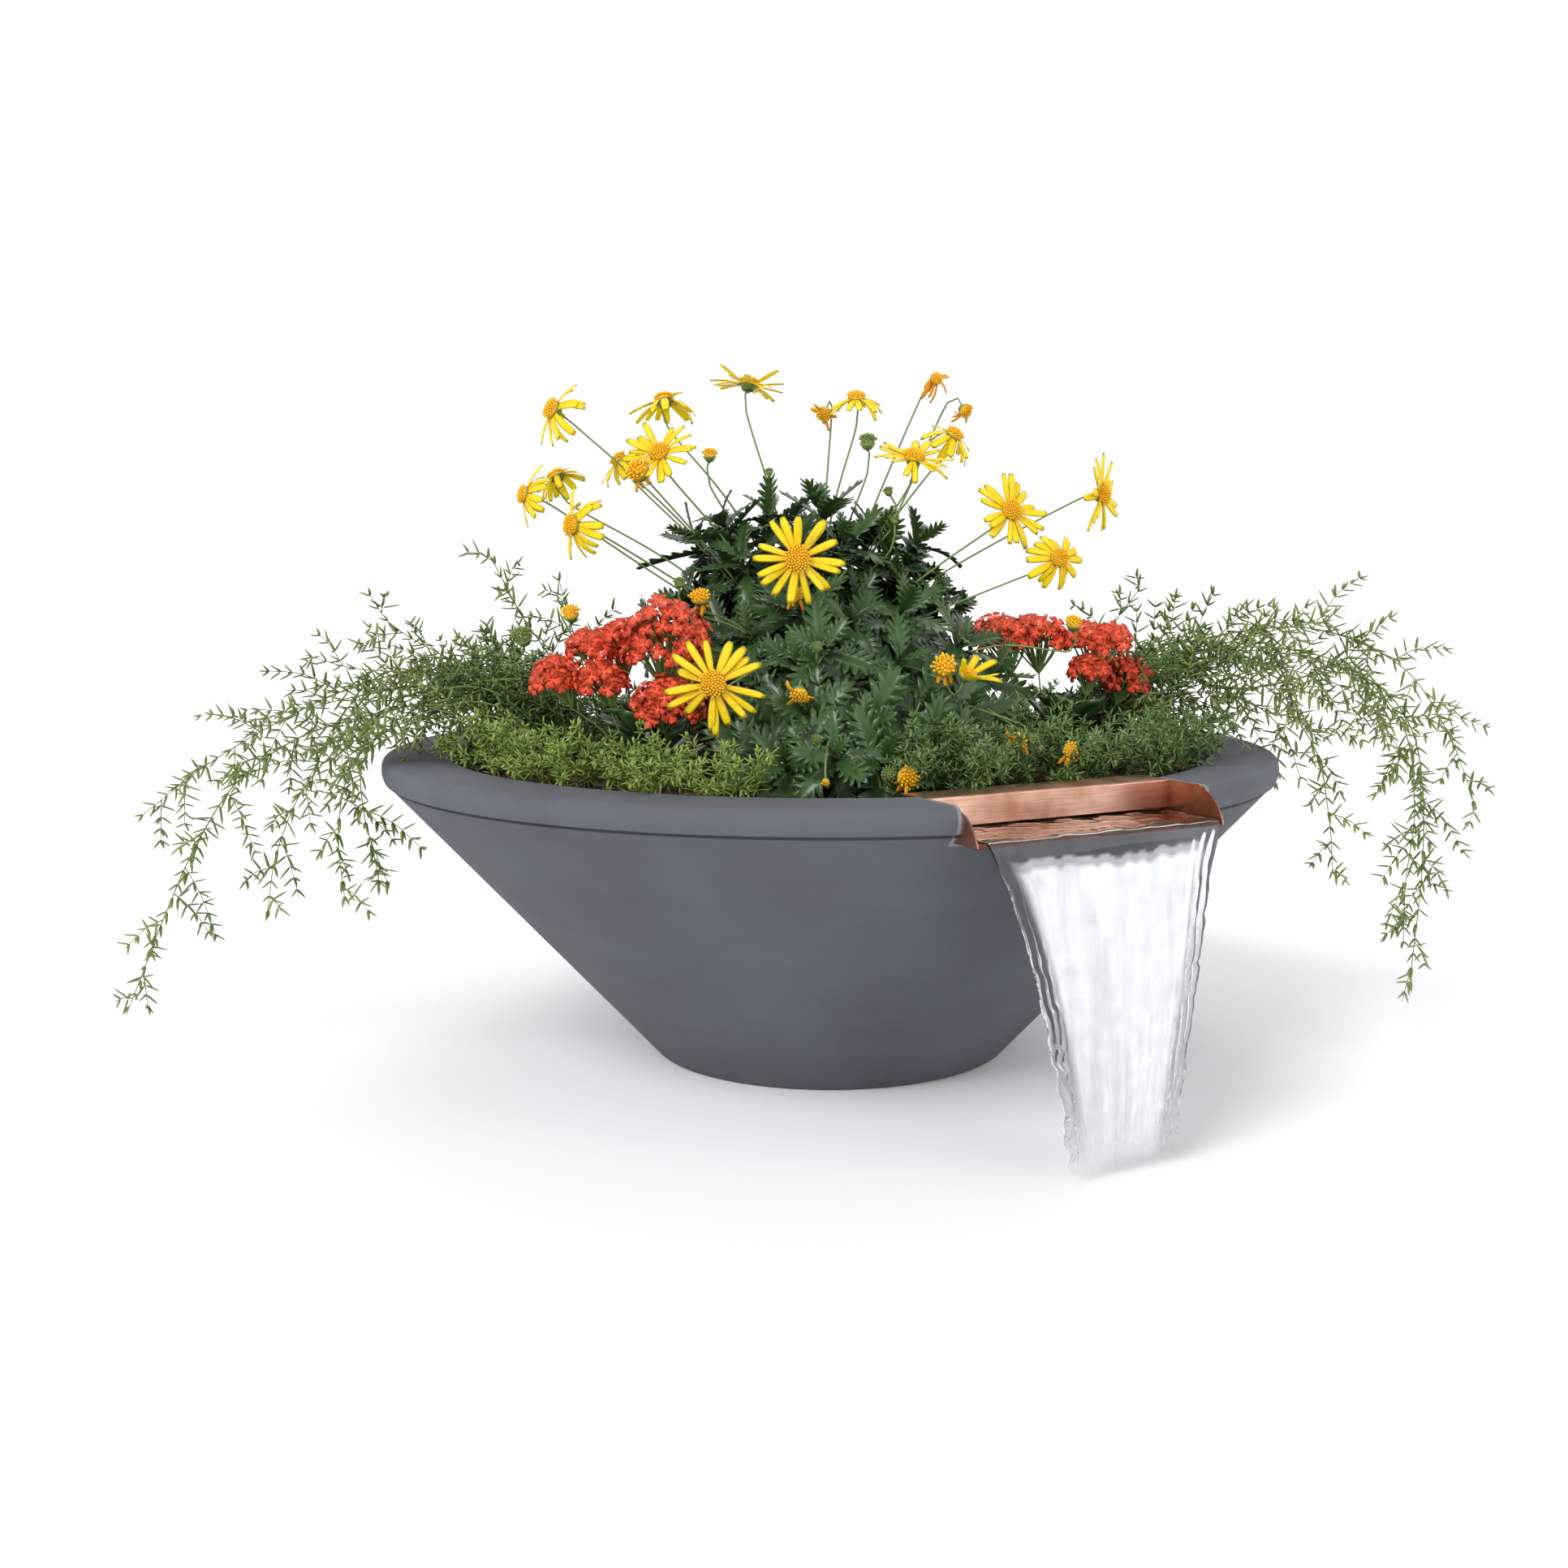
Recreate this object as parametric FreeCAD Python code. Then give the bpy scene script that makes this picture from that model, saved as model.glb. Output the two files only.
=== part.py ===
"""Round tapered planter bowl with a copper spillway, its plumbing and its planting.

Millimetres. The origin is the centre of the bowl's underside, +Z is up, and the
spillway pours towards -Y. Distances from the bowl's axis towards the spillway are
called "out" and are laid along -Y.
"""

import math
import os

import FreeCAD, Part

V = FreeCAD.Vector
X, Y, Z = V(1, 0, 0), V(0, 1, 0), V(0, 0, 1)

# Bowl, cast in glass-fibre reinforced concrete
RIM_DIAMETER = 914.4
BOWL_HEIGHT = 315.0
BASE_DIAMETER = 368.0
WALL = 25.0
FLOOR = 40.0
RIM_WIDTH = 70.0
LIP_DEPTH = 30.0
BAND_HEIGHT = 23.0
BAND_PROUD = 5.0
GROOVE_WIDTH = 4.0
GROOVE_DEPTH = 1.8
RIDGE_SETBACK = 3.0
RIDGE_RADIUS = 7.0
INNER_EDGE_RADIUS = 6.0
FOOT_RADIUS = 7.0

# Spillway, soldered from copper sheet
SPILL_WIDTH = 260.0
LIP_PROJECTION = 2.8
TRAY_DEPTH = 74.0
SPILL_DROP = 30.0
SHEET = 1.6
COVER_DEPTH = 40.0
SLOT_HEIGHT = 5.0
CHEEK_SWEEP = 32.0
HEM_LENGTH = 9.0
BOX_DEPTH = 22.0
BOX_SUMP = 3.25
BOX_WIDTH = 230.0
COVER_BEND = 3.0
SOLDER_LEG = 2.4
BED = 3.0

# Water supply in copper tube, and the drain
PIPE_RADIUS = 11.1
PIPE_WALL = 1.1
CUP_WALL = 1.5
CUP_GAP = 0.05
CUP_LENGTH = 12.0
BEND_RADIUS = 18.0
PIPE_COVER = 1.35
SPIGOT_LENGTH = 96.0
RISER_DROP = 71.0
SUPPLY_OUT = 120.0
SUPPLY_ELBOW_HEIGHT = 40.0
BARREL_RADIUS = 16.0
BARREL_MOUTH = 3.0
BARREL_GAP = 0.5
FLANGE_RADIUS = 27.0
FLANGE_THICK = 5.0
HUB_RADIUS = 18.0
HUB_HEIGHT = 9.0
GASKET = 3.0
NUT_ACROSS_FLATS = 42.0
NUT_HEIGHT = 10.0
POCKET_RADIUS = 31.0
POCKET_DEPTH = 17.0
OUTLET_LENGTH = 18.0
STRAINER_RADIUS = 24.0
STRAINER_HEIGHT = 20.0
STRAINER_WALL = 2.0
STRAINER_SLOTS = 8
STRAINER_SLOT_WIDTH = 4.0

# Fill
GRAVEL_DEPTH = 35.0
SOIL_BELOW_RIM = 32.0
MULCH_DEPTH = 12.0
FILL_GAP = 0.3

# Planting, laid out in plan facing a side 30 degrees left of the spillway.
# x is to the right, y away from that side, z above the rim.
LAYOUT_TURN = -30.0
PLANT_GAP = 0.4
STEM_RADIUS = 1.4
BLOOM_THICK = 5.0
BUSH_CENTRE = (-25.0, 30.0)
BUSH_PROFILE = [(92, 0), (145, 45), (167, 110), (163, 170), (118, 250), (50, 290)]
BUSH_HEIGHT = 304.0
STEM_ROOT = (-20.0, 0.0, 95.0)
# One row per daisy: x, y, z, radius, then its facing: heading in plan and tilt up.
DAISIES = [
    (-281, -20, 345, 38, 200, 35),
    (-172, 30, 358, 38, 120, 70),
    (-86, 60, 380, 38, 60, 80),
    (27, 20, 362, 36, 270, 75),
    (111, 60, 382, 26, 300, 20),
    (128, 20, 322, 36, 330, 55),
    (84, -40, 297, 40, 290, 70),
    (-170, -60, 300, 42, 240, 45),
    (-218, 10, 296, 34, 180, 60),
    (-275, -40, 278, 34, 160, 65),
    (-300, -90, 258, 34, 200, 10),
    (-250, -115, 228, 38, 225, 5),
    (-30, -205, 197, 42, 272, 5),
    (180, -65, 243, 40, 300, 25),
    (280, 0, 260, 40, 330, 5),
    (226, -85, 196, 36, 290, 15),
    (-103, -295, 88, 41, 262, 12),
    (124, -245, 96, 30, 320, 40),
]
KALANCHOES = {"left": (-172.0, -178.0), "right": (236.0, -62.0)}
KALANCHOE_LEAF_RADIUS = 62.0
KALANCHOE_LEAF_HEIGHT = 72.0
KALANCHOE_BLOOM_RADIUS = {"left": 80.0, "right": 88.0}
KALANCHOE_BLOOM_HEIGHT = {"left": 88.0, "right": 80.0}
# Low ferns along the rim: middle's distance inside the opening, half width, height,
# first and last angle.
CARPETS = {
    "fern_front_left": (45, 30, 64, 192, 258),
    "fern_front_right": (93, 38, 46, 262, 324),
    "fern_side_right": (37, 30, 46, 325, 350),
    "fern_back_right": (41, 33, 62, 22, 80),
    "fern_back_left": (41, 33, 66, 98, 160),
}
# Tufts and trailing shoots: the side they hang on, then centre line points as distance
# past the rim, y and height above the rim, each with the radius of the spray.
LEFT, RIGHT = -1, 1
SPRAYS = {
    "fern_crown_left": (
        LEFT,
        [[(-173, 20, -12, 56), (-169, 20, 25, 64), (-142, 25, 85, 60), (-112, 35, 150, 30)]],
    ),
    "fern_crown_right": (
        RIGHT,
        [[(-125, 48, -14, 40), (-124, 48, 25, 43), (-127, 52, 85, 42), (-135, 58, 150, 22)]],
    ),
    "fern_trailing_left": (
        LEFT,
        [[(-49, -60, 44, 36), (23, -60, 54, 48), (108, -60, 32, 60), (183, -60, -60, 60),
          (238, -60, -165, 52), (271, -60, -245, 34), (291, -60, -292, 14)]],
    ),
    "fern_trailing_right": (
        RIGHT,
        [[(-59, -20, 42, 34), (13, -20, 58, 46), (103, -20, 62, 56), (165, -20, -10, 56),
          (177, -20, -120, 46), (163, -20, -215, 30), (155, -20, -262, 14)]],
    ),
    "fern_sprays_left": (
        LEFT,
        [[(-65, -150, 34, 24), (1, -172, 32, 28), (41, -178, -40, 30), (43, -170, -140, 16)],
         [(103, -150, -40, 20), (123, -140, -100, 30), (121, -130, -170, 14)]],
    ),
    "fern_sprays_right": (
        RIGHT,
        [[(21, -110, 18, 20), (59, -110, -40, 30), (73, -100, -140, 14)]],
    ),
}

# Worked out from the driving sizes
rim_radius = RIM_DIAMETER / 2
base_radius = BASE_DIAMETER / 2
opening_radius = rim_radius - RIM_WIDTH
band_foot = BOWL_HEIGHT - BAND_HEIGHT
cone_top_radius = rim_radius - BAND_PROUD - RIDGE_SETBACK
cone_top = band_foot - GROOVE_WIDTH
cone_slope = (cone_top_radius - base_radius) / cone_top
wall_across = WALL * math.hypot(1, cone_slope)
lip_foot = BOWL_HEIGHT - LIP_DEPTH
tray_top = BOWL_HEIGHT - SPILL_DROP
lip_out = rim_radius + LIP_PROJECTION
baffle_out = lip_out - TRAY_DEPTH
cover_back = baffle_out - COVER_DEPTH
box_front = cover_back + BOX_DEPTH
elbow_out = cover_back - SPIGOT_LENGTH
gravel_top = FLOOR + GRAVEL_DEPTH
soil_top = BOWL_HEIGHT - SOIL_BELOW_RIM
mulch_top = soil_top + MULCH_DEPTH
plant_floor = mulch_top + PLANT_GAP
cup_radius = PIPE_RADIUS + CUP_GAP + CUP_WALL
bore_radius = PIPE_RADIUS + CUP_GAP
pipe_height = mulch_top - PIPE_COVER - cup_radius
box_floor = pipe_height - bore_radius - SHEET - BOX_SUMP
flange_foot = FLOOR + GASKET
hub_top = flange_foot + FLANGE_THICK + HUB_HEIGHT


def inner_radius(z):
    """Radius of the bowl's inner wall at a height."""
    return base_radius + cone_slope * z - wall_across


def box(x_half, out_near, out_far, low, high):
    """Block centred on X that spans two distances out and two heights."""
    return Part.makeBox(2 * x_half, out_far - out_near, high - low, V(-x_half, -out_far, low))


def disc(radius, low, high, x=0.0, y=0.0):
    """Upright cylinder between two heights."""
    return Part.makeCylinder(radius, high - low, V(x, y, low))


def ring(outer, inner, low, high, x=0.0, y=0.0):
    """Upright tube between two heights."""
    return disc(outer, low, high, x, y).cut(disc(inner, low - 1, high + 1, x, y))


def solid_of_revolution(edges, angle=360):
    """Turn a closed outline in the XZ plane about the bowl's axis."""
    return Part.Face(Part.Wire(edges)).revolve(V(0, 0, 0), Z, angle)


def polygon(points):
    """Straight edges through the points and back to the first."""
    return [Part.makeLine(a, b) for a, b in zip(points, points[1:] + points[:1])]


def side_plate(points, x_low, thick):
    """Plate of sheet in a YZ plane, from (out, z) edges, starting at x_low."""
    face = Part.Face(Part.Wire(points))
    face.translate(V(x_low, 0, 0))
    return face.extrude(V(thick, 0, 0))


def full_bowl():
    """Bowl before its pockets, holes and the spillway's notch are cut."""
    outline = [
        (0, 0),
        (base_radius, 0),
        (cone_top_radius, cone_top),
        (cone_top_radius - GROOVE_DEPTH, cone_top + GROOVE_WIDTH / 2),
        (rim_radius - RIDGE_SETBACK, band_foot),
    ]
    points = [V(r, 0, z) for r, z in outline]
    bulge = V(rim_radius, 0, band_foot + BAND_HEIGHT / 2)
    ridge = V(rim_radius - RIDGE_SETBACK, 0, BOWL_HEIGHT)
    inside = [
        (opening_radius, BOWL_HEIGHT),
        (opening_radius, lip_foot),
        (inner_radius(lip_foot), lip_foot),
        (inner_radius(FLOOR), FLOOR),
        (0, FLOOR),
    ]
    inner = [ridge] + [V(r, 0, z) for r, z in inside] + [points[0]]
    edges = [Part.makeLine(a, b) for a, b in zip(points, points[1:])]
    edges.append(Part.Arc(points[-1], bulge, ridge).toShape())
    edges += [Part.makeLine(a, b) for a, b in zip(inner, inner[1:])]
    shape = solid_of_revolution(edges)
    for radius, height, fillet in (
        (base_radius, 0, FOOT_RADIUS),
        (ridge.x, BOWL_HEIGHT, RIDGE_RADIUS),
        (opening_radius, BOWL_HEIGHT, INNER_EDGE_RADIUS),
    ):
        shape = shape.makeFillet(fillet, rim_edges(shape, radius, height))
    return shape


def rim_edges(shape, radius, height):
    """Full circles of a shape at one radius and height."""
    return [
        edge
        for edge in shape.Edges
        if isinstance(edge.Curve, Part.Circle)
        and abs(edge.Curve.Radius - radius) < 0.01
        and abs(edge.Curve.Center.z - height) < 0.01
    ]


def spill_envelope(gap):
    """Space the spillway and its water box need, grown by a gap."""
    channel = box(
        SPILL_WIDTH / 2 + gap, cover_back - gap, rim_radius + 20, tray_top - SHEET - gap, BOWL_HEIGHT + 1
    )
    well = box(BOX_WIDTH / 2 + gap, cover_back - gap, box_front + gap, box_floor - gap, BOWL_HEIGHT + 1)
    return channel.fuse(well).removeSplitter()


def bowl_shell(blank):
    """Bowl with the notch for the spillway and holes for both fittings."""
    shape = blank.cut(spill_envelope(BED))
    for out in (0.0, SUPPLY_OUT):
        shape = shape.cut(disc(BARREL_RADIUS + BARREL_GAP, -1, FLOOR + 1, 0, -out))
        shape = shape.cut(disc(POCKET_RADIUS, -1, POCKET_DEPTH, 0, -out))
    return shape


def scupper_sealant(blank):
    """Silicone bed that fills the joint between the copper and the concrete."""
    bed = spill_envelope(BED).cut(spill_envelope(0))
    well_gap = box(SPILL_WIDTH, 0, cover_back + BOX_DEPTH + BED, 0, BOWL_HEIGHT + 2)
    return bed.cut(well_gap).common(blank)


def spillway_tray():
    """Tray with a hem folded under its lip."""
    half = SPILL_WIDTH / 2 - SHEET
    floor = box(half, box_front - SHEET, lip_out - SHEET, tray_top - SHEET, tray_top)
    fold = Part.makeCylinder(SHEET, 2 * half, V(-half, -(lip_out - SHEET), tray_top - SHEET), X)
    under = box(half, lip_out - HEM_LENGTH, lip_out - SHEET, tray_top - 2 * SHEET, tray_top - SHEET)
    return floor.fuse(fold).fuse(under).removeSplitter()


def spillway_cheek(side):
    """Side plate with a front edge that curves down to the lip."""
    low, under_cover = tray_top - SHEET, BOWL_HEIGHT - SHEET
    corner = V(0, -(lip_out - CHEEK_SWEEP), BOWL_HEIGHT)
    tip = V(0, -lip_out, tray_top)
    chord = tip - corner
    swell = V(0, chord.z, -chord.y).normalize() * (0.12 * chord.Length)
    belly = (corner + tip) * 0.5 + swell
    edges = [
        Part.makeLine(V(0, -box_front, low), V(0, -box_front, under_cover)),
        Part.makeLine(V(0, -box_front, under_cover), V(0, -baffle_out, under_cover)),
        Part.makeLine(V(0, -baffle_out, under_cover), V(0, -baffle_out, BOWL_HEIGHT)),
        Part.makeLine(V(0, -baffle_out, BOWL_HEIGHT), corner),
        Part.Arc(corner, belly, tip).toShape(),
        Part.makeLine(tip, V(0, -lip_out, low)),
        Part.makeLine(V(0, -lip_out, low), V(0, -box_front, low)),
    ]
    x_low = SPILL_WIDTH / 2 - SHEET if side > 0 else -SPILL_WIDTH / 2
    return side_plate(edges, x_low, SHEET)


def weir_cover():
    """Top plate over the water box, bent down into the wall the water passes under."""
    baffle_foot = tray_top + SLOT_HEIGHT
    plate = box(SPILL_WIDTH / 2, cover_back, baffle_out, BOWL_HEIGHT - SHEET, BOWL_HEIGHT)
    wall = box(SPILL_WIDTH / 2 - SHEET, baffle_out - SHEET, baffle_out, baffle_foot, BOWL_HEIGHT - SHEET)
    bent = plate.fuse(wall).removeSplitter()
    bend = [
        edge
        for edge in bent.Edges
        if abs(edge.BoundBox.Center.y + baffle_out) < 0.01
        and abs(edge.BoundBox.Center.z - BOWL_HEIGHT) < 0.01
        and edge.BoundBox.XLength > SPILL_WIDTH - 1
    ]
    return bent.makeFillet(min(COVER_BEND, SHEET * 0.9), bend)


def water_box():
    """Open-topped box behind the tray that the supply fills."""
    outer = box(BOX_WIDTH / 2, cover_back, box_front, box_floor, tray_top - SHEET)
    inner = box(BOX_WIDTH / 2 - SHEET, cover_back + SHEET, box_front - SHEET, box_floor + SHEET, tray_top)
    upper = box(BOX_WIDTH / 2, cover_back, box_front - SHEET, tray_top - SHEET, BOWL_HEIGHT - SHEET)
    hollow = box(BOX_WIDTH / 2 - SHEET, cover_back + SHEET, box_front, tray_top - SHEET, BOWL_HEIGHT)
    hole = Part.makeCylinder(bore_radius, 4 * SHEET, V(0, -cover_back + 2 * SHEET, pipe_height), -Y)
    return outer.cut(inner).fuse(upper.cut(hollow)).removeSplitter().cut(hole)


def box_wings():
    """Closing strips each side of the water box, up to the full width of the tray."""
    inner, outer = BOX_WIDTH / 2, SPILL_WIDTH / 2 - SHEET
    strips = []
    for side in (-1, 1):
        x = inner if side > 0 else -outer
        strips.append(
            Part.makeBox(
                outer - inner,
                SHEET,
                BOWL_HEIGHT - 2 * SHEET - tray_top + SHEET,
                V(x, -box_front, tray_top),
            )
        )
    return Part.makeCompound(strips)


def solder_seams():
    """Solder fillets in the corners between the tray and each cheek."""
    seams = []
    for side in (-1, 1):
        corner = side * (SPILL_WIDTH / 2 - SHEET)
        y = -(baffle_out + SHEET)
        triangle = polygon(
            [
                V(corner, y, tray_top),
                V(corner - side * SOLDER_LEG, y, tray_top),
                V(corner, y, tray_top + SOLDER_LEG),
            ]
        )
        run = lip_out - baffle_out - 4 * SHEET
        seams.append(Part.Face(Part.Wire(triangle)).extrude(V(0, -run, 0)))
    return Part.makeCompound(seams)


def tube(start, end):
    """Straight length of supply tube."""
    run = end - start
    outer = Part.makeCylinder(PIPE_RADIUS, run.Length, start, run)
    return outer.cut(Part.makeCylinder(PIPE_RADIUS - PIPE_WALL, run.Length, start, run))


def bend_frame(before, corner, after):
    """Directions into and out of a bend, and the points where its arc starts and ends."""
    into, out_of = (corner - before).normalize(), (after - corner).normalize()
    setback = BEND_RADIUS * math.tan(into.getAngle(out_of) / 2)
    return into, out_of, corner - into * setback, corner + out_of * setback


def bend_core(before, corner, after, radius):
    """Solid bar of a radius carried round a bend."""
    into, out_of, first, last = bend_frame(before, corner, after)
    inward = (out_of - into).normalize()
    centre = corner + inward * (BEND_RADIUS / math.cos(into.getAngle(out_of) / 2))
    path = Part.Wire(Part.Arc(first, centre - inward * BEND_RADIUS, last).toShape())
    return path.makePipeShell([Part.Wire(Part.makeCircle(radius, first, into))], True, False)


def elbow(before, corner, after):
    """Elbow with a cup at each end, and the two points where tubes stop inside it."""
    into, out_of, first, last = bend_frame(before, corner, after)
    route = (before, corner, after)
    shape = bend_core(*route, cup_radius).cut(bend_core(*route, PIPE_RADIUS - PIPE_WALL))
    for start, along in ((first, into * -1), (last, out_of)):
        cup = Part.makeCylinder(cup_radius, CUP_LENGTH, start, along)
        shape = shape.fuse(cup.cut(Part.makeCylinder(bore_radius, CUP_LENGTH, start, along)))
    return shape.removeSplitter(), first, last


def supply_route():
    """Corner points of the supply tube, from the water box down to the floor fitting."""
    low_corner = FLOOR + SUPPLY_ELBOW_HEIGHT
    return [
        V(0, -(cover_back + SHEET), pipe_height),
        V(0, -elbow_out, pipe_height),
        V(0, -elbow_out, pipe_height - RISER_DROP),
        V(0, -SUPPLY_OUT, low_corner),
        V(0, -SUPPLY_OUT, hub_top - CUP_LENGTH),
    ]


def supply_pieces():
    """Tubes and elbows of the supply riser, by name."""
    route = supply_route()
    top, first_top, last_top = elbow(*route[0:3])
    middle, first_middle, last_middle = elbow(*route[1:4])
    bottom, first_bottom, last_bottom = elbow(*route[2:5])
    return {
        "inlet_spigot": tube(route[0], first_top),
        "riser_elbow_top": top,
        "riser_drop": tube(last_top, first_middle),
        "riser_elbow_middle": middle,
        "riser_slope": tube(last_middle, first_bottom),
        "riser_elbow_bottom": bottom,
        "riser_tail": tube(last_bottom, route[4]),
    }


def floor_fitting(out, hub):
    """Flanged fitting through the floor, with or without a cup for the riser."""
    y = -out
    shape = disc(BARREL_RADIUS, BARREL_MOUTH, flange_foot, 0, y)
    shape = shape.fuse(disc(FLANGE_RADIUS, flange_foot, flange_foot + FLANGE_THICK, 0, y))
    if hub:
        shape = shape.fuse(disc(HUB_RADIUS, flange_foot + FLANGE_THICK, hub_top, 0, y))
        shape = shape.cut(disc(bore_radius, hub_top - CUP_LENGTH, hub_top + 1, 0, y))
    shape = shape.cut(disc(bore_radius, BARREL_MOUTH - 1, BARREL_MOUTH + OUTLET_LENGTH, 0, y))
    return shape.cut(disc(PIPE_RADIUS - PIPE_WALL, 0, BOWL_HEIGHT, 0, y)).removeSplitter()


def floor_gasket(out):
    """Rubber washer under a fitting's flange."""
    return ring(FLANGE_RADIUS, BARREL_RADIUS + BARREL_GAP / 2, FLOOR, flange_foot, 0, -out)


def floor_nut(out):
    """Hexagon nut that draws a fitting down from below."""
    corner = NUT_ACROSS_FLATS / 2 / math.cos(math.pi / 6)
    low = POCKET_DEPTH - NUT_HEIGHT
    turns = [k * math.pi / 3 for k in range(6)]
    points = [V(corner * math.cos(a), corner * math.sin(a) - out, low) for a in turns]
    hexagon = Part.Face(Part.Wire(polygon(points))).extrude(V(0, 0, NUT_HEIGHT))
    return hexagon.cut(disc(BARREL_RADIUS, low - 1, POCKET_DEPTH + 1, 0, -out))


def drain_strainer():
    """Slotted cap that keeps gravel out of the drain."""
    low = flange_foot + FLANGE_THICK
    cap = disc(STRAINER_RADIUS, low, low + STRAINER_HEIGHT)
    cap = cap.cut(disc(STRAINER_RADIUS - STRAINER_WALL, low - 1, low + STRAINER_HEIGHT - STRAINER_WALL))
    slot = Part.makeBox(
        STRAINER_RADIUS,
        STRAINER_SLOT_WIDTH,
        STRAINER_HEIGHT - 4 * STRAINER_WALL,
        V(STRAINER_RADIUS / 2, -STRAINER_SLOT_WIDTH / 2, low + 2 * STRAINER_WALL),
    )
    for k in range(STRAINER_SLOTS):
        turned = slot.copy()
        turned.rotate(V(0, 0, 0), Z, k * 360 / STRAINER_SLOTS)
        cap = cap.cut(turned)
    return cap


def buried_space():
    """Space taken inside the fill by the water box, the riser and both fittings."""
    gap = FILL_GAP
    route = supply_route()
    space = spill_envelope(gap)
    for k in (1, 2, 3):
        space = space.fuse(bend_core(*route[k - 1 : k + 2], cup_radius + gap))
    route[4] = V(0, -SUPPLY_OUT, FLOOR)
    for start, end in zip(route, route[1:]):
        run = end - start
        space = space.fuse(Part.makeCylinder(cup_radius + gap, run.Length, start, run))
        space = space.fuse(Part.makeSphere(cup_radius + gap, end))
    flange = disc(FLANGE_RADIUS + gap, 0, flange_foot + FLANGE_THICK + gap, 0, -SUPPLY_OUT)
    hub = disc(HUB_RADIUS + gap, 0, hub_top + gap, 0, -SUPPLY_OUT)
    drain = disc(FLANGE_RADIUS + gap, 0, flange_foot + FLANGE_THICK + gap)
    cap = disc(STRAINER_RADIUS + gap, 0, flange_foot + FLANGE_THICK + STRAINER_HEIGHT + gap)
    for piece in (flange, hub, drain, cap):
        space = space.fuse(piece)
    return space


def cone_fill(low, high):
    """Fill that sits against the inner wall between two heights."""
    return Part.makeCone(
        inner_radius(low) - FILL_GAP, inner_radius(high) - FILL_GAP, high - low, V(0, 0, low)
    )


def fill_pieces():
    """Gravel, soil and bark, cut around everything buried in them."""
    space = buried_space()
    behind_cover = box(RIM_DIAMETER, cover_back - FILL_GAP, RIM_DIAMETER, soil_top, mulch_top)
    bark = disc(opening_radius - FILL_GAP, soil_top, mulch_top).cut(behind_cover)
    return {
        "gravel_layer": cone_fill(FLOOR + FILL_GAP, gravel_top).cut(space),
        "potting_soil": cone_fill(gravel_top, soil_top).cut(space),
        "mulch_layer": bark.cut(space),
    }


def laid(x, y, z=0.0):
    """Point of the planting plan in the bowl's frame, its height taken from the rim."""
    return FreeCAD.Rotation(Z, LAYOUT_TURN).multVec(V(x, y, BOWL_HEIGHT + z))


def grown_dome(x, y, foot, profile, height):
    """Rounded mound over a place in the plan, from (radius, height) points."""
    points = [V(r, 0, foot + h) for r, h in profile] + [V(0, 0, foot + height)]
    curve = Part.BSplineCurve()
    curve.interpolate(points)
    outline = [
        curve.toShape(),
        Part.makeLine(points[-1], V(0, 0, foot)),
        Part.makeLine(V(0, 0, foot), points[0]),
    ]
    shape = solid_of_revolution(outline)
    spot = laid(x, y)
    shape.translate(V(spot.x, spot.y, 0))
    return shape


def kalanchoe(side):
    """Leaves and flower mound of one kalanchoe."""
    x, y = KALANCHOES[side]
    spot = laid(x, y)
    leaves = Part.makeCone(
        0.7 * KALANCHOE_LEAF_RADIUS,
        KALANCHOE_LEAF_RADIUS,
        KALANCHOE_LEAF_HEIGHT,
        V(spot.x, spot.y, plant_floor),
    )
    radius, height = KALANCHOE_BLOOM_RADIUS[side], KALANCHOE_BLOOM_HEIGHT[side]
    profile = [(0.6 * radius, 0), (radius, 0.35 * height), (0.72 * radius, 0.82 * height)]
    foot = plant_floor + KALANCHOE_LEAF_HEIGHT + PLANT_GAP
    return leaves, grown_dome(x, y, foot, profile, height)


def facing(heading, tilt):
    """Direction a bloom faces."""
    level = math.cos(math.radians(tilt))
    turn = math.radians(heading + LAYOUT_TURN)
    return V(level * math.cos(turn), level * math.sin(turn), math.sin(math.radians(tilt)))


def daisies(bush):
    """Daisy stems outside the bush, and the blooms at their ends."""
    stems, blooms = [], []
    root = laid(*STEM_ROOT)
    for x, y, z, radius, heading, tilt in DAISIES:
        look = facing(heading, tilt)
        back = laid(x, y, z) - look * BLOOM_THICK
        outside = Part.makeLine(root, back).cut(bush).Edges[-1]
        leaves_bush = max((end.Point for end in outside.Vertexes), key=back.distanceToPoint)
        run = back - leaves_bush
        clear = STEM_RADIUS * 2
        start = leaves_bush + run.normalize() * clear
        length = back.distanceToPoint(start) - clear
        stems.append(Part.makeCylinder(STEM_RADIUS, length, start, back - start))
        blooms.append(Part.makeCylinder(radius, BLOOM_THICK, back, look))
    return Part.makeCompound(stems), Part.makeCompound(blooms)


def carpet(inset, half_width, height, first, last):
    """Low fern along the rim: a rounded section carried round part of the bowl."""
    centre = opening_radius - inset
    a = V(centre - half_width, 0, plant_floor)
    b = V(centre, 0, plant_floor + height)
    c = V(centre + half_width, 0, plant_floor)
    shape = solid_of_revolution([Part.Arc(a, b, c).toShape(), Part.makeLine(c, a)], last - first)
    shape.rotate(V(0, 0, 0), Z, first + LAYOUT_TURN)
    return shape


def spray(side, points):
    """Shoot of fern as a horn through circles along its centre line."""
    centres = [laid(side * (rim_radius + past), y, z) for past, y, z, _ in points]
    rings = []
    for k, (centre, point) in enumerate(zip(centres, points)):
        along = centres[min(k + 1, len(points) - 1)] - centres[max(k - 1, 0)]
        rings.append(Part.Wire(Part.makeCircle(point[3], centre, along)))
    return Part.makeLoft(rings, True, False)


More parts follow.
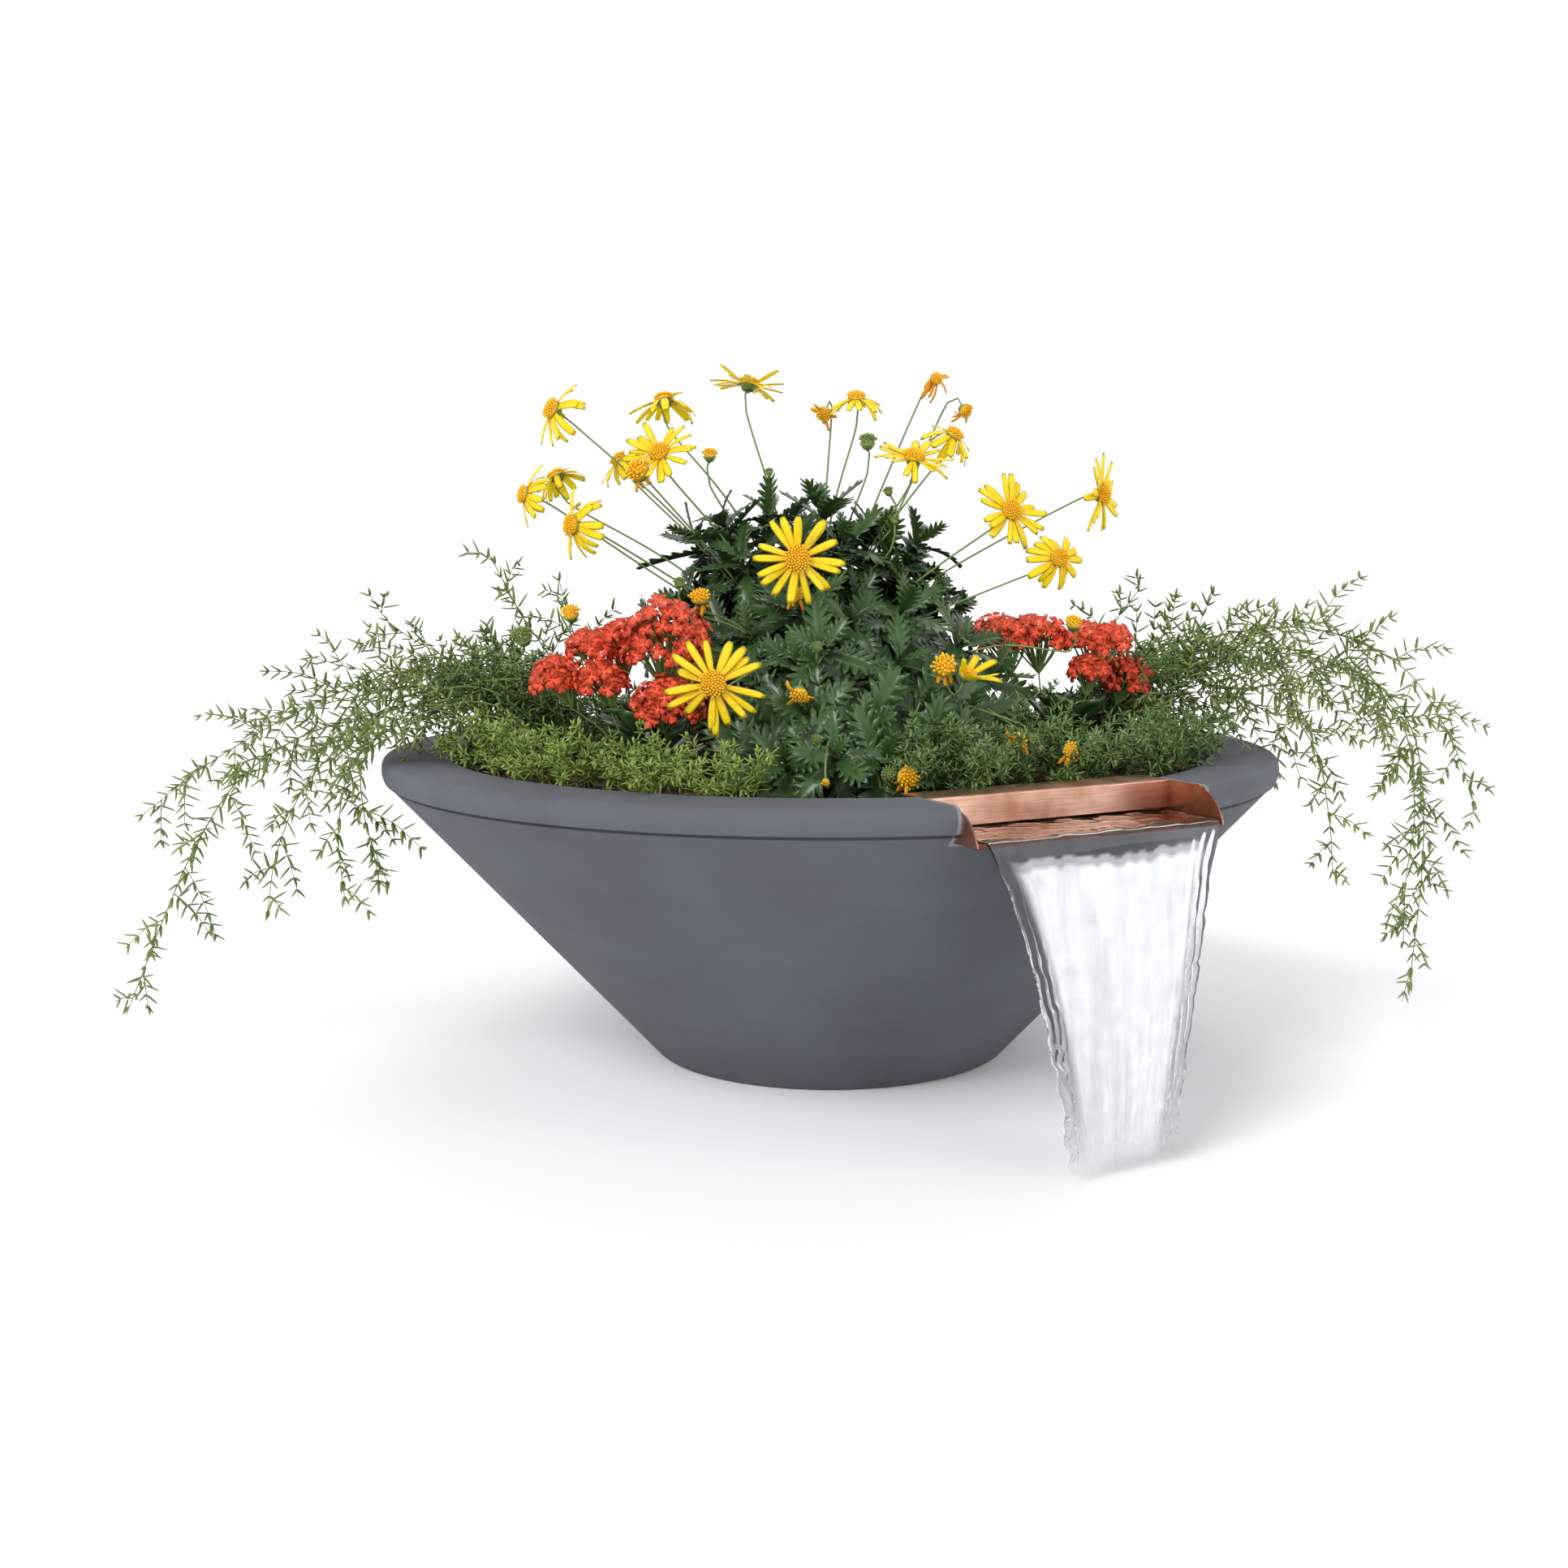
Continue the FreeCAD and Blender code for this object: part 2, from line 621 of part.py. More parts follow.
def planting():
    """All plants, by name."""
    bush = grown_dome(*BUSH_CENTRE, plant_floor, BUSH_PROFILE, BUSH_HEIGHT - (plant_floor - BOWL_HEIGHT))
    stems, blooms = daisies(bush)
    pieces = {"daisy_foliage": bush, "daisy_stems": stems, "daisy_blooms": blooms}
    for side in KALANCHOES:
        leaves, flowers = kalanchoe(side)
        pieces[f"kalanchoe_{side}_leaves"] = leaves
        pieces[f"kalanchoe_{side}_blooms"] = flowers
    for name, sizes in CARPETS.items():
        pieces[name] = carpet(*sizes)
    for name, (side, shoots) in SPRAYS.items():
        horns = [spray(side, shoot) for shoot in shoots]
        pieces[name] = horns[0] if len(horns) == 1 else Part.makeCompound(horns)
    return pieces


def build():
    """Every piece of the planter, by node name."""
    blank = full_bowl()
    pieces = {
        "bowl_shell": bowl_shell(blank),
        "scupper_sealant": scupper_sealant(blank),
        "spillway_tray": spillway_tray(),
        "spillway_cheek_left": spillway_cheek(-1),
        "spillway_cheek_right": spillway_cheek(1),
        "weir_cover": weir_cover(),
        "water_box": water_box(),
        "box_wings": box_wings(),
        "solder_seams": solder_seams(),
        "supply_bulkhead": floor_fitting(SUPPLY_OUT, True),
        "supply_gasket": floor_gasket(SUPPLY_OUT),
        "supply_nut": floor_nut(SUPPLY_OUT),
        "drain_bulkhead": floor_fitting(0.0, False),
        "drain_gasket": floor_gasket(0.0),
        "drain_nut": floor_nut(0.0),
        "drain_strainer": drain_strainer(),
    }
    pieces.update(supply_pieces())
    pieces.update(fill_pieces())
    pieces.update(planting())
    return pieces


os.makedirs("parts", exist_ok=True)
for name, shape in build().items():
    shape.exportStep(f"parts/{name}.step")
    volume = round(shape.Volume / 1000, 2)
    print(name, "solids", len(shape.Solids), "valid", shape.isValid(), "cm3", volume)
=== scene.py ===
"""Looks of a planted concrete water bowl with a copper spillway, in metres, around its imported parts."""

import logging
import math
from contextlib import contextmanager
from dataclasses import dataclass, field
from enum import Enum
from typing import Callable, Iterator

import bmesh
import bpy
import numpy as np
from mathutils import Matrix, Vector, noise


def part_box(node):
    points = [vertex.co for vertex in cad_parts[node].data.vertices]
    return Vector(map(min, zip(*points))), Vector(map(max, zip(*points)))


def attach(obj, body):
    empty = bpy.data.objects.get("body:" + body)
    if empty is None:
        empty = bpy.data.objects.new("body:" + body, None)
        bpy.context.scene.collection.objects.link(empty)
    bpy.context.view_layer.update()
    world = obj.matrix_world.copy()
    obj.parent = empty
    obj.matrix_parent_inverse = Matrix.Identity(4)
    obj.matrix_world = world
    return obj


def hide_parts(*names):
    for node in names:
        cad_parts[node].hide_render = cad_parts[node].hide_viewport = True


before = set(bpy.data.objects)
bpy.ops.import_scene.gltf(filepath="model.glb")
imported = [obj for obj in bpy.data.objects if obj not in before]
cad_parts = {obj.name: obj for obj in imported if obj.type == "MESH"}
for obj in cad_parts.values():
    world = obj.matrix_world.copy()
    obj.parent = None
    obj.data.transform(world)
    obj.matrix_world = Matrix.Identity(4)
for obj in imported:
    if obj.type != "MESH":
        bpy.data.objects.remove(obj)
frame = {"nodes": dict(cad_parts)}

log = logging.getLogger("water_bowl")

MM = 0.001
BODY = "root"
LAYOUT_TURN = math.radians(-30.0)  # the planting is laid out as it is looked at, a twelfth of a turn from the pour
OPENING_RADIUS = 387.2  # inside the rim
TRAY_BACK = 388.0  # from the middle of the bowl to where the film starts
WATERLINE = 285.0  # the tray's floor
GOLDEN_TURN = math.radians(137.508)
TISSUE_MM = 2.5  # how deep light goes into a petal or leaf
MIX_A, MIX_B, MIX_RESULT = 6, 7, 2  # the colour sockets of a Mix node
UP = np.array([0.0, 0.0, 1.0])

Colour = tuple[float, float, float, float]
Point = tuple[float, float, float]
Rows = np.ndarray
Rng = np.random.Generator
Tree = bpy.types.NodeTree
Node = bpy.types.Node
Socket = bpy.types.NodeSocket
Piece = bpy.types.Object


# --- colour and nodes


def srgb(code: str) -> Colour:
    """Turns an sRGB hex colour, such as '#6e737a', to linear with full alpha."""
    parts = [int(code[i : i + 2], 16) / 255.0 for i in (1, 3, 5)]
    linear = [p / 12.92 if p <= 0.04045 else ((p + 0.055) / 1.055) ** 2.4 for p in parts]
    return (linear[0], linear[1], linear[2], 1.0)


def feed(tree: Tree, node: Node, sockets: dict[str | int, object]) -> None:
    """Gives a node's inputs their values, and links those that come from an output."""
    for name, value in sockets.items():
        if isinstance(value, Socket):
            tree.links.new(value, node.inputs[name])
        else:
            node.inputs[name].default_value = value


def add_node(
    tree: Tree, kind: str, settings: dict[str, object] | None = None, sockets: dict[str | int, object] | None = None
) -> Node:
    """Adds a node, with its settings, its values and its links.

    Args:
        tree: The node tree that it goes into.
        kind: The node's type name.
        settings: The node's own properties.
        sockets: For each input, a value, or the output that is linked to it.

    Returns:
        The node.
    """
    node = tree.nodes.new(kind)
    for name, value in (settings or {}).items():
        setattr(node, name, value)
    feed(tree, node, sockets or {})
    return node


def place(tree: Tree, stretch: Point = (1.0, 1.0, 1.0)) -> Socket:
    """The piece's own coordinates in metres, stretched along its axes."""
    here = add_node(tree, "ShaderNodeTexCoord").outputs["Object"]
    return add_node(tree, "ShaderNodeMapping", sockets={"Vector": here, "Scale": stretch}).outputs[0]


def cloud(tree: Tree, where: Socket, size_mm: float, detail: float = 3.0) -> Socket:
    """A soft random value whose patches are about size_mm across."""
    sockets = {"Vector": where, "Scale": 1000.0 / size_mm, "Detail": detail, "Roughness": 0.55}
    return add_node(tree, "ShaderNodeTexNoise", sockets=sockets).outputs["Fac"]


def cells(tree: Tree, where: Socket, size_mm: float) -> Socket:
    """The distance to the middle of the nearest of many cells, about size_mm across."""
    sockets = {"Vector": where, "Scale": 1000.0 / size_mm}
    return add_node(tree, "ShaderNodeTexVoronoi", sockets=sockets).outputs["Distance"]


def ranged(tree: Tree, value: Socket, low: float, high: float, to_low: float = 0.0, to_high: float = 1.0) -> Socket:
    """Maps a value from one range to another, held inside it."""
    sockets = {"Value": value, "From Min": low, "From Max": high, "To Min": to_low, "To Max": to_high}
    return add_node(tree, "ShaderNodeMapRange", sockets=sockets).outputs[0]


def blend(tree: Tree, factor: Socket, first: Colour | Socket, second: Colour | Socket) -> Socket:
    """A colour between two, by a factor."""
    sockets = {0: factor, MIX_A: first, MIX_B: second}
    return add_node(tree, "ShaderNodeMix", {"data_type": "RGBA"}, sockets).outputs[MIX_RESULT]


def painted(tree: Tree, name: str) -> Socket:
    """The number that each point of the mesh carries under a name."""
    return add_node(tree, "ShaderNodeAttribute", {"attribute_name": name}).outputs["Fac"]


def raised(tree: Tree, height: Socket, depth_mm: float, strength: float = 1.0) -> Socket:
    """A bump of that depth from a height between 0 and 1."""
    sockets = {"Height": height, "Distance": depth_mm * MM, "Strength": strength}
    return add_node(tree, "ShaderNodeBump", sockets=sockets).outputs[0]


# --- finishes


@dataclass(frozen=True)
class Finish:
    """A surface as it comes from its maker. Each kind dresses one shader in its own way."""

    title: str
    roughness: float = 0.6

    def dress(self, tree: Tree, shader: Node) -> None:
        """Puts the finish's colours and grain on the shader."""
        raise NotImplementedError

    def material(self) -> bpy.types.Material:
        """The finish as a material, made once."""
        found = bpy.data.materials.get(self.title)
        if found is not None:
            return found
        made = bpy.data.materials.new(self.title)
        made.use_nodes = True
        tree = made.node_tree
        tree.nodes.clear()
        shader = add_node(tree, "ShaderNodeBsdfPrincipled", sockets={"Roughness": self.roughness})
        add_node(tree, "ShaderNodeOutputMaterial", sockets={"Surface": shader.outputs[0]})
        self.dress(tree, shader)
        return made


@dataclass(frozen=True)
class CastConcrete(Finish):
    """Glass fibre reinforced concrete, cast in a mould, coloured through and sealed: matt, with soft clouds."""

    title: str = "cast_fibre_concrete_slate_grey"
    roughness: float = 0.82
    dark: str = "#4f525a"
    light: str = "#5b5f67"
    cloud_mm: float = 130.0
    streak_mm: float = 26.0
    hole_mm: float = 34.0  # from one air hole to the next
    sand_mm: float = 2.2  # fine sand is under a millimetre, drawn coarser so that it shows

    def dress(self, tree: Tree, shader: Node) -> None:
        """Clouds, faint level streaks where the mix was laid in the mould, a few air holes drawn as darker dots that
        are painted shade in the pits, and a sanded face.
        """
        here = place(tree)
        clouds = cloud(tree, here, self.cloud_mm, 5.0)
        streaks = cloud(tree, place(tree, (0.12, 0.12, 1.0)), self.streak_mm, 2.0)
        base = blend(tree, ranged(tree, clouds, 0.32, 0.68), srgb(self.dark), srgb(self.light))
        streaked = blend(tree, ranged(tree, streaks, 0.35, 0.75, 0.0, 0.22), base, srgb("#666a72"))
        # The air holes have no relief: their darker grey is painted shade in the pits.
        hole = ranged(tree, cells(tree, here, self.hole_mm), 0.02, 0.045)
        sand = cloud(tree, here, self.sand_mm, 2.0)
        finish = {
            "Base Color": blend(tree, hole, srgb("#4a4d55"), streaked),
            "Specular IOR Level": 0.35,
            "Roughness": ranged(tree, clouds, 0.3, 0.7, 0.74, 0.9),
            "Normal": raised(tree, sand, 0.35, 0.45),
        }
        feed(tree, shader, finish)


@dataclass(frozen=True)
class CopperSheet(Finish):
    """Copper sheet, rolled bright and folded, with brown stains; on the tray a darker, less metallic copper paints in
    the dark reflections of its wet film.
    """

    title: str = "rolled_copper_sheet"
    roughness: float = 0.3
    bright: str = "#e8bca6"
    brown: str = "#b98268"
    stain_mm: float = 60.0
    metallic: float = 1.0  # less on the tray, where a dark brown, less metallic copper paints in the dark reflections of its wet film
    rolling_mm: float = 1.6
    wave_mm: float = 18.0

    def dress(self, tree: Tree, shader: Node) -> None:
        """Brown patches, fine lines along the rolling direction and slight hammer waves."""
        here = place(tree)
        stains = ranged(tree, cloud(tree, here, self.stain_mm, 4.0), 0.4, 0.72)
        lines = cloud(tree, place(tree, (0.04, 1.0, 1.0)), self.rolling_mm, 2.0)
        tinted = blend(tree, stains, srgb(self.bright), srgb(self.brown))
        lined = blend(tree, ranged(tree, lines, 0.45, 0.75, 0.0, 0.35), tinted, srgb("#8e5238"))
        waves = raised(tree, cloud(tree, here, self.wave_mm, 1.0), 0.5, 0.35)
        feed(tree, waves.node, {"Normal": raised(tree, lines, 0.05, 0.3)})
        finish = {
            "Metallic": self.metallic,
            "Base Color": lined,
            "Roughness": ranged(tree, stains, 0.0, 1.0, 0.24, 0.42),
            "Normal": waves,
        }
        feed(tree, shader, finish)


@dataclass(frozen=True)
class Grained(Finish):
    """A plain stuff of two colours in patches, with a grain that stands up: solder, sealant, rubber, brass or soil."""

    first: str = "#808080"
    second: str = "#909090"
    patch_mm: float = 10.0
    grain_mm: float = 2.0
    grain_depth_mm: float = 0.1
    metallic: float = 0.0

    def dress(self, tree: Tree, shader: Node) -> None:
        """Patches of two colours over a bump of grain."""
        here = place(tree)
        patches = ranged(tree, cloud(tree, here, self.patch_mm, 4.0), 0.35, 0.65)
        finish = {
            "Metallic": self.metallic,
            "Base Color": blend(tree, patches, srgb(self.first), srgb(self.second)),
            "Normal": raised(tree, cloud(tree, here, self.grain_mm, 3.0), self.grain_depth_mm, 0.8),
        }
        feed(tree, shader, finish)


@dataclass(frozen=True)
class Pebbled(Finish):
    """Loose rounded stones, washed: a cell for each stone, each its own grey."""

    title: str = "washed_pea_gravel"
    roughness: float = 0.7
    stone_mm: float = 11.0

    def dress(self, tree: Tree, shader: Node) -> None:
        """Cells of stone size, darker where they meet: painted shade in the gaps between the stones."""
        here = place(tree)
        stones = cells(tree, here, self.stone_mm)
        tones = ranged(tree, cloud(tree, here, self.stone_mm, 1.0), 0.3, 0.7)
        stone = blend(tree, tones, srgb("#8c8578"), srgb("#b9b1a2"))
        finish = {
            # The dark brown at the cell edges is painted shade between the stones.
            "Base Color": blend(tree, ranged(tree, stones, 0.35, 0.7), stone, srgb("#3b3833")),
            "Normal": raised(tree, ranged(tree, stones, 0.0, 0.8, 1.0, 0.0), 3.0),
        }
        feed(tree, shader, finish)


@dataclass(frozen=True)
class Grown(Finish):
    """A living surface: its colour runs from root to tip, and each leaf or petal has its own tone, which on the
    daisy's leaves also holds painted shade deeper in the bush.
    """

    root: str = "#335522"
    tip: str = "#446633"
    other: str = "#557744"
    mottle_mm: float = 6.0
    vein_mm: float = 1.5
    vein_depth_mm: float = 0.15
    sheen: float = 0.5
    through: float = 0.0  # how much light passes into the thin tissue

    def dress(self, tree: Tree, shader: Node) -> None:
        """Runs the colour along each copy, shifts it by the copy's tone, and raises fine veins."""
        here = place(tree)
        run = blend(tree, painted(tree, "along"), srgb(self.root), srgb(self.tip))
        shifted = blend(tree, ranged(tree, painted(tree, "tone"), 0.0, 1.0, 0.0, 0.85), run, srgb(self.other))
        mottles = ranged(tree, cloud(tree, here, self.mottle_mm), 0.35, 0.7, 0.0, 0.35)
        finish = {
            "Base Color": blend(tree, mottles, shifted, srgb(self.root)),
            "Specular IOR Level": self.sheen,
            "Normal": raised(tree, cloud(tree, here, self.vein_mm, 2.0), self.vein_depth_mm, 0.6),
        }
        if self.through > 0.0:
            finish["Subsurface Weight"] = self.through
            finish["Subsurface Scale"] = TISSUE_MM * MM
            finish["Subsurface Radius"] = (1.0, 0.9, 0.35)  # blue goes in least
        feed(tree, shader, finish)


@dataclass(frozen=True)
class FallingWater(Finish):
    """Tap water: clear where it is smooth, and white where it takes in air."""

    title: str = "clear_and_aerated_water"
    roughness: float = 0.03
    index: float = 1.333
    streak_mm: float = 16.0

    def dress(self, tree: Tree, shader: Node) -> None:
        """Clear glassy water that turns to a bright white veil by the mesh's own foam value."""
        foam = painted(tree, "foam")
        streaks = cloud(tree, place(tree, (1.0, 1.0, 0.07)), self.streak_mm, 3.0)
        veil = blend(tree, ranged(tree, streaks, 0.35, 0.65), srgb("#eff1f3"), srgb("#d9dce1"))
        finish = {
            "IOR": self.index,
            "Base Color": veil,
            "Transmission Weight": ranged(tree, foam, 0.0, 1.0, 1.0, 0.0),
            "Roughness": ranged(tree, foam, 0.0, 1.0, 0.03, 0.35),
            "Alpha": painted(tree, "fade"),
        }
        feed(tree, shader, finish)


SEALANT = Grained("grey_silicone_sealant", 0.5, "#75787d", "#7f8287", 14.0, 3.0, 0.05)
SOLDER = Grained("tin_solder_seam", 0.32, "#b9b6ad", "#a39d90", 8.0, 2.5, 0.2, 1.0)
RUBBER = Grained("black_rubber_gasket", 0.7, "#1d1e20", "#26272a", 12.0, 1.5, 0.05)
BRASS = Grained("turned_brass_fitting", 0.33, "#c9a45c", "#a98443", 20.0, 1.2, 0.04, 1.0)
STEEL = Grained("stainless_wire_strainer", 0.38, "#b7babd", "#999da1", 6.0, 1.5, 0.1, 1.0)
SOIL = Grained("damp_potting_soil", 0.95, "#2a1d14", "#43301f", 9.0, 3.0, 2.0)
BARK = Grown(
    "shredded_pine_bark", 0.85, "#3a2418", "#5c3c28", "#7a5438", mottle_mm=7.0, vein_mm=2.5, vein_depth_mm=0.8,
    sheen=0.2,
)
BARK_BED = Grained("pine_bark_bed", 0.9, "#2c1b12", "#4c3222", 12.0, 5.0, 3.0)
DAISY_LEAF = Grown(
    "daisy_leaf", 0.28, "#1e3418", "#28441f", "#3e5e2d", mottle_mm=9.0, vein_mm=2.2, vein_depth_mm=0.25,
    sheen=0.5, through=0.15,
)
STEM = Grown("green_flower_stem", 0.5, "#6b8445", "#8da262", "#7b9250", mottle_mm=14.0, vein_depth_mm=0.05)
WOODY_STEM = Grown("woody_daisy_branch", 0.7, "#4b4a2c", "#5b6a37", "#5a5c36", mottle_mm=8.0)
YELLOW_PETAL = Grown(
    "yellow_ray_petal", 0.5, "#f4b400", "#fbd81c", "#f8cc10", mottle_mm=5.0, vein_mm=0.9, vein_depth_mm=0.12,
    sheen=0.3, through=0.55,
)
FADED_PETAL = Grown(
    "faded_ray_petal", 0.6, "#d98a12", "#f0b326", "#e59a1c", mottle_mm=3.0, vein_mm=0.9, sheen=0.2
)
DISC_FLORET = Grown("orange_disc_floret", 0.6, "#d89a0c", "#f7bd1c", "#efc430", mottle_mm=2.0, sheen=0.3)
CALYX = Grown("green_calyx_scale", 0.5, "#5d7331", "#7d9246", "#6b8140", mottle_mm=3.0)
RED_FLORET = Grown(
    "scarlet_kalanchoe_petal", 0.45, "#ff9458", "#f64a30", "#e02a1e", mottle_mm=4.0, sheen=0.4, through=0.1
)
RED_BUD = Grown("kalanchoe_bud", 0.45, "#7d8a3c", "#d84a30", "#c03a26", mottle_mm=3.0)
SUCCULENT = Grown("kalanchoe_leaf", 0.32, "#22391c", "#2f4d25", "#426334", mottle_mm=16.0, vein_mm=6.0)
# One fern in three copies of its colours: lighter for the lit sprigs in front, darker for the crown and sprigs in
# shade behind and under the plants, the trailing shoots between: painted light and shade.
FERN_PAINTED_LIT = Grown("asparagus_fern_painted_lit", 0.42, "#4f7028", "#8fa846", "#b0c468", mottle_mm=12.0, sheen=0.4)
FERN_TRAIL = Grown("asparagus_fern_trailing_shoot", 0.42, "#4c6428", "#748a40", "#9aa860", mottle_mm=12.0, sheen=0.4)
FERN_PAINTED_SHADE = Grown("asparagus_fern_painted_shade", 0.38, "#3a5826", "#5e7c3c", "#8ba468", mottle_mm=12.0, sheen=0.4)
CONCRETE = CastConcrete()
COPPER = CopperSheet()
# The tray's copper: darker brown and less metallic, painted dark reflection over its wet film
COPPER_PAINTED_DARK_REFLECTION = CopperSheet("copper_with_painted_dark_reflection", 0.3, "#6a4231", "#40271d", 45.0, 0.35)
COPPER_BROWNED = CopperSheet("browned_copper_fold", 0.34, "#c4937c", "#8f5f4c", 30.0)
GRAVEL = Pebbled()
WATER = FallingWater()


def coat(piece: Piece, finish: Finish) -> None:
    """Gives a piece one finish all over."""
    piece.data.materials.clear()
    piece.data.materials.append(finish.material())


# --- modelling by hand


def clear_selection() -> None:
    """Leaves nothing selected."""
    for one in bpy.context.selected_objects:
        one.select_set(False)


def primitive(kind: str, **sizes: object) -> Piece:
    """Adds a primitive at its place, alone in the selection.

    Args:
        kind: The primitive's name in bpy.ops.mesh, without its beginning and end.
        sizes: The operator's own settings.

    Returns:
        The new object, with its place in its mesh.
    """
    clear_selection()
    getattr(bpy.ops.mesh, f"primitive_{kind}_add")(**sizes)
    bpy.ops.object.transform_apply(location=True, rotation=True, scale=True)
    return bpy.context.object


@contextmanager
def in_edit(piece: Piece) -> Iterator[None]:
    """Edit mode on one piece, with nothing selected at the start."""
    bpy.context.view_layer.objects.active = piece
    bpy.ops.object.mode_set(mode="EDIT")
    bpy.ops.mesh.select_all(action="DESELECT")
    yield
    bpy.ops.object.mode_set(mode="OBJECT")


def pick(piece: Piece, kind: str, test: Callable[[Vector], bool]) -> int:
    """Selects a piece's verts, edges or faces by place, and nothing else.

    Args:
        piece: The piece in edit mode.
        kind: verts, edges or faces.
        test: Says yes to a point. An edge or face is taken if all its points are.

    Returns:
        How many were taken.
    """
    bpy.ops.mesh.select_all(action="DESELECT")
    shape = bmesh.from_edit_mesh(piece.data)
    found = 0
    for one in getattr(shape, kind):
        points = [one.co] if kind == "verts" else [v.co for v in one.verts]
        if all(test(p) for p in points):
            one.select_set(True)
            found += 1
    shape.select_flush_mode()
    bmesh.update_edit_mesh(piece.data)
    return found


def near(value: float, wanted: float, room: float = 1e-4) -> bool:
    """True if two lengths are the same within a small room."""
    return abs(value - wanted) < room


def push(piece: Piece, by: Point, test: Callable[[Vector], bool]) -> None:
    """Moves the points that a test takes."""
    pick(piece, "verts", test)
    bpy.ops.transform.translate(value=by)


def extrude(kind: str, move: Point, by: Point, about: Point) -> None:
    """Extrudes the selected edges or region by a move, then scales the new part about a point."""
    getattr(bpy.ops.mesh, f"extrude_{kind}_move")(TRANSFORM_OT_translate={"value": tuple(move)})
    bpy.ops.transform.resize(value=by, center_override=tuple(about))


def upright_sheet(columns: int, rows: int, middle: float = 0.5) -> Piece:
    """A square sheet one unit high, that stands along Z and looks along -Y."""
    quarter = (math.pi / 2, 0, 0)
    return primitive(
        "grid", x_subdivisions=columns, y_subdivisions=rows, size=1.0, location=(0, 0, middle), rotation=quarter
    )


def widen(piece: Piece, height: float, by: Point) -> None:
    """Scales the ring of points at a height about the middle line."""
    if pick(piece, "verts", lambda p: near(p.z, height)):
        bpy.ops.transform.resize(value=by, center_override=(0.0, 0.0, height))


def double_back(piece: Piece, thickness: float) -> None:
    """Closes a single sheet into a thin lens: its copy faces back, and the two share their outer edge.

    Args:
        piece: A sheet whose outer face looks along -Y.
        thickness: How far the inner points are moved apart.
    """
    shape = bmesh.new()
    shape.from_mesh(piece.data)
    inner = {tuple(round(c, 5) for c in v.co) for v in shape.verts if not v.is_boundary}
    shape.free()
    with in_edit(piece):
        pick(piece, "verts", lambda p: tuple(round(c, 5) for c in p) in inner)
        bpy.ops.transform.translate(value=(0.0, -thickness / 2, 0.0))
        bpy.ops.mesh.select_all(action="SELECT")
        bpy.ops.mesh.duplicate()
        bpy.ops.mesh.flip_normals()
        shape = bmesh.from_edit_mesh(piece.data)
        for v in shape.verts:
            v.select_set(v.select and not v.is_boundary)
        shape.select_flush_mode()
        bmesh.update_edit_mesh(piece.data)
        bpy.ops.transform.translate(value=(0.0, thickness, 0.0))
        bpy.ops.mesh.select_all(action="SELECT")
        bpy.ops.mesh.remove_doubles(threshold=1e-5)


def thicken(piece: Piece, thickness: float) -> None:
    """Gives an open sheet an even thickness behind its face, and closes its edge."""
    bpy.context.view_layer.objects.active = piece
    wall = piece.modifiers.new("wall", "SOLIDIFY")
    wall.thickness = thickness
    bpy.ops.object.modifier_apply(modifier="wall")


def bow(piece: Piece, degrees: float) -> None:
    """Curls a piece back over its length with a modifier, and applies it."""
    if near(degrees, 0.0):
        return
    bpy.context.view_layer.objects.active = piece
    curl = piece.modifiers.new("curl", "SIMPLE_DEFORM")
    curl.deform_method = "BEND"
    curl.deform_axis = "X"
    curl.angle = math.radians(degrees)
    bpy.ops.object.modifier_apply(modifier="curl")


@dataclass
class Pattern:
    """A small modelled shape, one unit long from 0 along Z, with its face along -Y, ready to be copied."""

    points: Rows
    corners: Rows
    sizes: Rows

    @classmethod
    def take(cls, piece: Piece) -> "Pattern":
        """Reads a modelled piece and removes it, with its points and faces put in order, the same in each run."""
        points = np.array([v.co for v in piece.data.vertices], float)
        order = np.lexsort(points.round(5).T)
        index = np.argsort(order)
        faces = sorted((index[list(face.vertices)].tolist() for face in piece.data.polygons), key=sorted)
        bpy.data.objects.remove(piece)
        return cls(points[order], np.concatenate(faces).astype(np.int32), np.array([len(face) for face in faces]))


def unit(rows: Rows) -> Rows:
    """Each row at length 1."""
    return rows / np.maximum(np.linalg.norm(rows, axis=-1, keepdims=True), 1e-9)


def axes(lengthwise: Rows, facing: Rows) -> Rows:
    """Right-handed axes for each copy.

    Args:
        lengthwise: The way that each copy's length goes.
        facing: The way that its outer face should look.

    Returns:
        One 3 x 3 matrix for each, whose columns are the copy's own X, Y and Z.
    """
    z = unit(np.asarray(lengthwise, float))
    back = -np.asarray(facing, float) + 1e-4 * np.roll(z, 1, axis=-1)
    y = unit(back - (back * z).sum(-1, keepdims=True) * z)
    return np.stack([np.cross(y, z), y, z], axis=-1)


